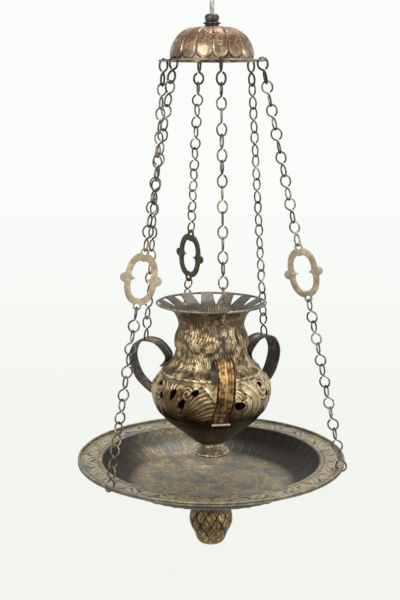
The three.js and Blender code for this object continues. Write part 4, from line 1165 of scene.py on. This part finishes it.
def step_down(value, low, high):
    t = clamp((value - low) / (high - low))
    return 1 - t * t * (3 - 2 * t)


print("a groove has", round(float(line_of(0.1)), 2), "of its depth a tenth of a cycle away")

# %% Scrolls of the belly
def scroll_relief(azimuth, length, r, z):
    depth = -z

    def polar(centre, low):
        dx = np.radians(wrapped(azimuth, HANDLE_AZIMUTH + centre, 120)) * r
        up = low - depth
        return dx, up, np.hypot(dx, up), np.degrees(np.arctan2(up, dx))

    height = 0.25 * np.sin(np.radians(azimuth * 9) + depth / 5)
    shade = np.full_like(r, 0.55)

    def lay(share, groove, crest, lift):
        """Puts one family of lines over what lies there, with a dark outline where it ends."""
        nonlocal height, shade
        outline = 4 * share * (1 - share)
        height = height * (1 - share) + share * (lift * crest - 0.8 * groove) - 0.5 * outline
        shade = shade * (1 - share) + share * (0.6 + 0.2 * crest - 0.5 * groove) - 0.26 * outline

    # bowed lines, left of the handle
    dx, up, _, _ = polar(-42, 92)
    bow = np.hypot(dx / 0.7, up / 1.5)
    lay(step_down(bow, 20, 23) * (dx < 5), line_of(bow / 4.2), waves(bow / 4.2), 0.6)
    # rings round an opening, far right
    _, _, rho, _ = polar(50, 82)
    lay(step_down(rho, 13, 16), line_of(rho / 4.6 + 0.3), waves(rho / 4.6 + 0.3), 0.6)
    # broad bands, right of the handle
    _, _, rho, turn = polar(20, 96)
    right = step_down(-turn, 70, 84) * step_down(turn, 78, 96)
    lay(right * step_down(rho, 26, 29), line_of((rho + 0.8) / 7.4, 0.2),
        0.6 + 0.2 * np.sin(rho * 2.2), 0.8)
    # fine arcs over the largest opening
    _, _, rho, turn = polar(15, 89.5)
    over = step_down(-turn, -12, 4) * step_down(turn, 150, 168)
    lay(over * step_down(rho, 10.5, 12), line_of(rho / 2.3 + 0.2, 0.4),
        np.clip(np.cos(rho), 0.2, 1), 0.9)
    # a fan that opens from the lower left
    dx, _, rho, turn = polar(-44, 122)
    sector = step_down(-turn, -20, -10) * step_down(turn, 72, 80) * step_down(rho, 50, 54)
    sweep = (turn + 0.5 * rho) / 6.4 + 0.15 * np.sin(rho / 4)
    lay(sector * (dx > 4) * (depth < 113), 0.8 * line_of(sweep, 0.34), 0.6 * waves(sweep), 0.6)
    # one tight curl
    _, _, rho, turn = polar(-33, 83)
    curl = line_of(rho / 3.6 - turn / 360, 0.4)
    lay(step_down(rho, 6.5, 8.0), curl, 1 - 0.8 * curl, 1.2)
    # one side of the belly, left of the front, is darker brown below the seam
    tint_share = 0.95 * ridge(wrapped(azimuth, DARK_SIDE_AZIMUTH), 40) * clamp((depth - 74) / 9)
    fade = clamp((116 - depth) / 4) * clamp((depth - 73.5) / 2.5)
    return height * fade, 0.5 + (shade - 0.5) * fade, tint_share


# %% Lower part of the vase
bowl_profile = through([[52.6, -72.3], [58.05, -79.1], [61.62, -87.5], [61.23, -98],
                        [56.27, -110.8], [49.58, -119.13], [37.89, -129.01], [25.33, -139.22],
                        [17, -147]], 8)
bowl_profile = np.vstack([bowl_profile, [[15.5, -147.2], [8, -147.2], [0.4, -147.2]]])
vase_bowl = sheet_piece("vase_belly", bowl_profile, scroll_relief, belly_gold, VASE_Z,
                        steps=420, spacing=1.0, wall=SHEET_WALL, opening=belly_openings)
raise_tongues(vase_bowl, belly_gold, Count=42.0, Phase=0.0, Start=50.0, End=88.0, Share=0.75,
              Softness=0.7, Height=0.5, Border=0.2, Contrast=0.8)
hand_over(vase_bowl, "vase_brass", "vase_bowl")

# %% [markdown]
# A wire stiffens the edge of the neck, and a small flared foot closes the bowl. The wire is a
# circle carried round a hoop. The foot is a turned outline.

# %% Rim wire and foot
RIM_R, FOOT_Z = 56, VASE_Z - 147.3

rim = carried(hoop(RIM_R, 160) + [0, 0, VASE_Z], circle(EDGE_WIRE, 8), closed=True)
solid("vase_rim", rim, rim_grey, "vase_brass", "vase_rim_wire")
foot_side = through([[12, 0], [12, -3.5], [15.4, -7.6], [19.4, -11.2], [19.2, -13.2], [18, -14]], 5)
foot_outline = [[0, 0], *foot_side, [17.2, -13], [14, -8.6], [10.6, -4], [10.6, -1.4], [0, -1.4]]
solid("vase_base", turned_solid(foot_outline, 96, FOOT_Z), foot_pale, "vase_brass", "vase_foot")


# %% [markdown]
# ## Handles
# A handle is a strap with fine reeds along its outer face and a raised rib in the middle. It is a
# section carried along a bent line, with its width always level. A rolled lip ends it below the
# belly. Small domed rivets hold it.

# %% Handles
HANDLE_LINE = [[53.95, -70.66], [51.58, -68.36], [48.41, -64.71], [48.41, -57.46],
               [59.67, -46.02], [74, -44], [84.2, -49.6], [89, -64], [82.35, -83.9],
               [69.06, -96.57], [62.42, -100.19], [61.17, -102.58], [58.65, -109.08],
               [57.59, -112.19]]
STRAP_WIDTH, STRAP_THICKNESS = 18.2, 2.0


def strap_section():
    x = np.linspace(-1, 1, 33)
    reeds = 0.14 * np.cos(x * math.pi * 6)
    rib = 0.6 * np.exp(-(x / 0.2) ** 4)
    edge = ridge(np.abs(x) - 0.93, 0.07)
    top = STRAP_THICKNESS / 2 - 0.6 + reeds + rib + 0.35 * edge
    under = np.full_like(x, -STRAP_THICKNESS / 2)
    outer = np.stack([x * STRAP_WIDTH / 2, top], 1)
    inner = np.stack([x * STRAP_WIDTH / 2, under], 1)[::-1][::4]
    # tone: the crests of the reeds and the rib are lighter, a painted highlight; the grooves between
    # the reeds are darker, painted shade; the edges are darker; the underside is a little darker,
    # painted shade
    tone = np.r_[0.5 + 1.1 * reeds + 0.45 * rib - 0.5 * edge, np.full(len(inner), 0.4)]
    return np.vstack([outer, inner]), tone


LIP_R, LIP_Z, LIP_WIRE, LIP_SIDES = 57.7, -113.4, 2.6, (-9.3, -3, 3, 9.3)
LIP_ALONG = 200.0

section, tone = strap_section()
line = through(np.array([[r, 0, z] for r, z in HANDLE_LINE]), 6)
length = np.r_[0, np.cumsum(np.linalg.norm(np.diff(line, axis=0), axis=1))]
lip = carried(np.array([[LIP_R, y, LIP_Z] for y in LIP_SIDES]), circle(LIP_WIRE, 8))
strap_points, strap_faces = joined(carried(line, section, side=(0, 1, 0)), lip)
strap_attributes = {
    # the rolled lip counts as a crest all over, so it is lightened: painted highlight with wear
    "relief": np.r_[np.tile(tone, len(line)), np.full(len(lip[0]), 1.0)],
    "along": np.r_[np.repeat(length, len(section)), np.full(len(lip[0]), LIP_ALONG)],
}
for n, azimuth in enumerate(INNER_AZIMUTHS, 1):
    a = angle_of(azimuth)
    c, s = math.cos(a), math.sin(a)
    points = strap_points @ np.array([[c, s, 0], [-s, c, 0], [0, 0, 1]]) + [0, 0, VASE_Z]
    material = (strap_copper if n == 2 else strap_brown).material
    piece = new_piece(f"strap_{n}", points, strap_faces, material, strap_attributes)
    hand_over(outward(piece), "vase_brass", f"handle_{n}")

# %% [markdown]
# The nine rivets are one small domed shape. A tree sets it on nine points, each with the outward
# direction of the wall there.

# %% The tree of rivets
def rivet_tree():
    t = Tree("rivets on seats", "GeometryNodeTree")
    seats = t.takes("Seats", "Geometry")
    rivet = t.takes("Rivet", "Object")
    material = t.takes("Material", "Material")
    shape = t.node("GeometryNodeObjectInfo", {"Object": rivet})
    aimed = t.node("FunctionNodeAlignRotationToVector", {
        "Vector": t.attribute("outward", "FLOAT_VECTOR"),
    }, axis="Z")
    laid = t.node("GeometryNodeInstanceOnPoints", {
        "Points": seats, "Instance": shape.outputs["Geometry"], "Rotation": aimed.outputs[0],
    })
    t.coated(laid.outputs[0], material)
    return t


RIVETS = rivet_tree()
print(RIVETS.tree.name, "has", len(RIVETS.tree.nodes), "nodes")

# %% Rivets
RIVET_SEATS = [(52.563, -67.509, 0.75823, 0.65199), (62.382, -103.049, 0.93233, -0.3616),
               (59.861, -109.549, 0.93233, -0.3616)]
rivet_shape = turned_solid([[0, 1.2], [1.0, 1.1], [1.9, 0.7], [2.4, 0], [1.2, 0], [1.2, -4.8],
                            [2, -4.8], [1.2, -5.7], [0, -5.8]], 14)
pattern = outward(new_piece("rivet_pattern", *rivet_shape, inner_brass.material))
seat_points, seat_normals = [], []
for azimuth in INNER_AZIMUTHS:
    a = angle_of(azimuth)
    for r, z, n_r, n_z in RIVET_SEATS:
        seat_points.append((r * math.cos(a), r * math.sin(a), z + VASE_Z))
        seat_normals.append((n_r * math.cos(a), n_r * math.sin(a), n_z))
rivets = new_piece("strap_rivets", seat_points, [], inner_brass.material,
                   {"outward": np.array(seat_normals)})
run_tree(rivets, RIVETS, {"Rivet": pattern, "Material": inner_brass.material})
bpy.data.objects.remove(pattern)
names = [f"{where}_rivet_{n}" for n in (1, 2, 3)
         for where in ("shoulder", "belly_upper", "belly_lower")]
hand_over(rivets, "dark_fittings", *names)

# %% [markdown]
# ## Stage
# The lamp hangs in a pale, even studio. The floor lies well below it. Floor and world are pale to
# the camera and in the reflections on the metal, while the light on the metal itself stays gentle.
# The floor's glow is a little darker near the middle, under the lamp: a painted soft shadow.

# %% Pale to the camera and to mirror rays
def shown_to(t, plain, pale, share, *rays):
    """A pale shader for some kinds of rays, by a share, and the plain one for all other light."""
    path = t.node("ShaderNodeLightPath").outputs
    seen = path[rays[0]]
    for ray in rays[1:]:
        seen = t.calc("MAXIMUM", seen, path[ray])
    inputs = {0: t.times(seen, share), 1: plain.outputs[0], 2: pale.outputs[0]}
    return t.node("ShaderNodeMixShader", inputs).outputs[0]


print("stage helper is ready")

# %% Floor
FLOOR_Z, FLOOR_HALF, FLOOR_SHARE = -1.5, 12, 0.98
FLOOR_NEAR, FLOOR_FAR = 1.6, 9.0

floor_mesh = bpy.data.meshes.new("floor")
floor_mesh.from_pydata([(x * FLOOR_HALF, y * FLOOR_HALF, FLOOR_Z)
                        for x, y in ((-1, -1), (1, -1), (1, 1), (-1, 1))], [], [(0, 1, 2, 3)])
floor = placed("floor", floor_mesh)
floor_material = bpy.data.materials.new("floor_pale")
ground = tree_of(floor_material)
matt = ground.tree.nodes["Principled BSDF"]
matt.inputs["Base Color"].default_value = colour("eef1ee")
matt.inputs["Roughness"].default_value = 0.9
place = ground.node("ShaderNodeTexCoord").outputs["Object"]
distance = ground.node("ShaderNodeVectorMath", {0: place}, operation="LENGTH").outputs["Value"]
# darker near the middle, under the lamp, paler far away: a painted soft shadow in the glow
paler = ground.mix(ground.ramp(distance, FLOOR_NEAR, FLOOR_FAR), colour("f3f5ef"), colour("fafcf9"))
glow = ground.node("ShaderNodeEmission", {"Color": paler})
ground.feed(shown_to(ground, matt, glow, FLOOR_SHARE, "Is Camera Ray", "Is Glossy Ray"),
            ground.tree.nodes["Material Output"].inputs["Surface"])
floor_mesh.materials.append(floor_material)
print("floor at", FLOOR_Z, "m")

# %% World
AMBIENT_STRENGTH = 0.45

world = bpy.data.worlds.new("studio")
bpy.context.scene.world = world
sky = tree_of(world)
ambient = sky.tree.nodes["Background"]
ambient.inputs["Color"].default_value = colour("eceff2")
ambient.inputs["Strength"].default_value = AMBIENT_STRENGTH
pale = sky.node("ShaderNodeBackground", {"Color": colour("fafcfa")})
sky.feed(shown_to(sky, ambient, pale, 1.0, "Is Camera Ray", "Is Glossy Ray", "Is Transmission Ray"),
         sky.tree.nodes["World Output"].inputs["Surface"])
print("world strength", AMBIENT_STRENGTH)


# %% Lamps
LAMP_TARGET = Vector((0, 0, -0.35))


def soft_lamp(name, place, size, power):
    data = bpy.data.lights.new(name, "AREA")
    data.size = size
    data.energy = power
    lamp = placed(name, data)
    lamp.location = place
    lamp.rotation_euler = (LAMP_TARGET - Vector(place)).to_track_quat("-Z", "Y").to_euler()


# name, place in metres, size in metres, power in watts
soft_lamp("key", (-0.9, -1.5, 0.7), 0.7, 26)
soft_lamp("fill", (1.5, -1.2, 0.0), 1.0, 12)
soft_lamp("top", (0.3, 0.5, 1.2), 0.9, 16)

scene = bpy.context.scene
scene.view_settings.view_transform = "Standard"
print("three lamps")
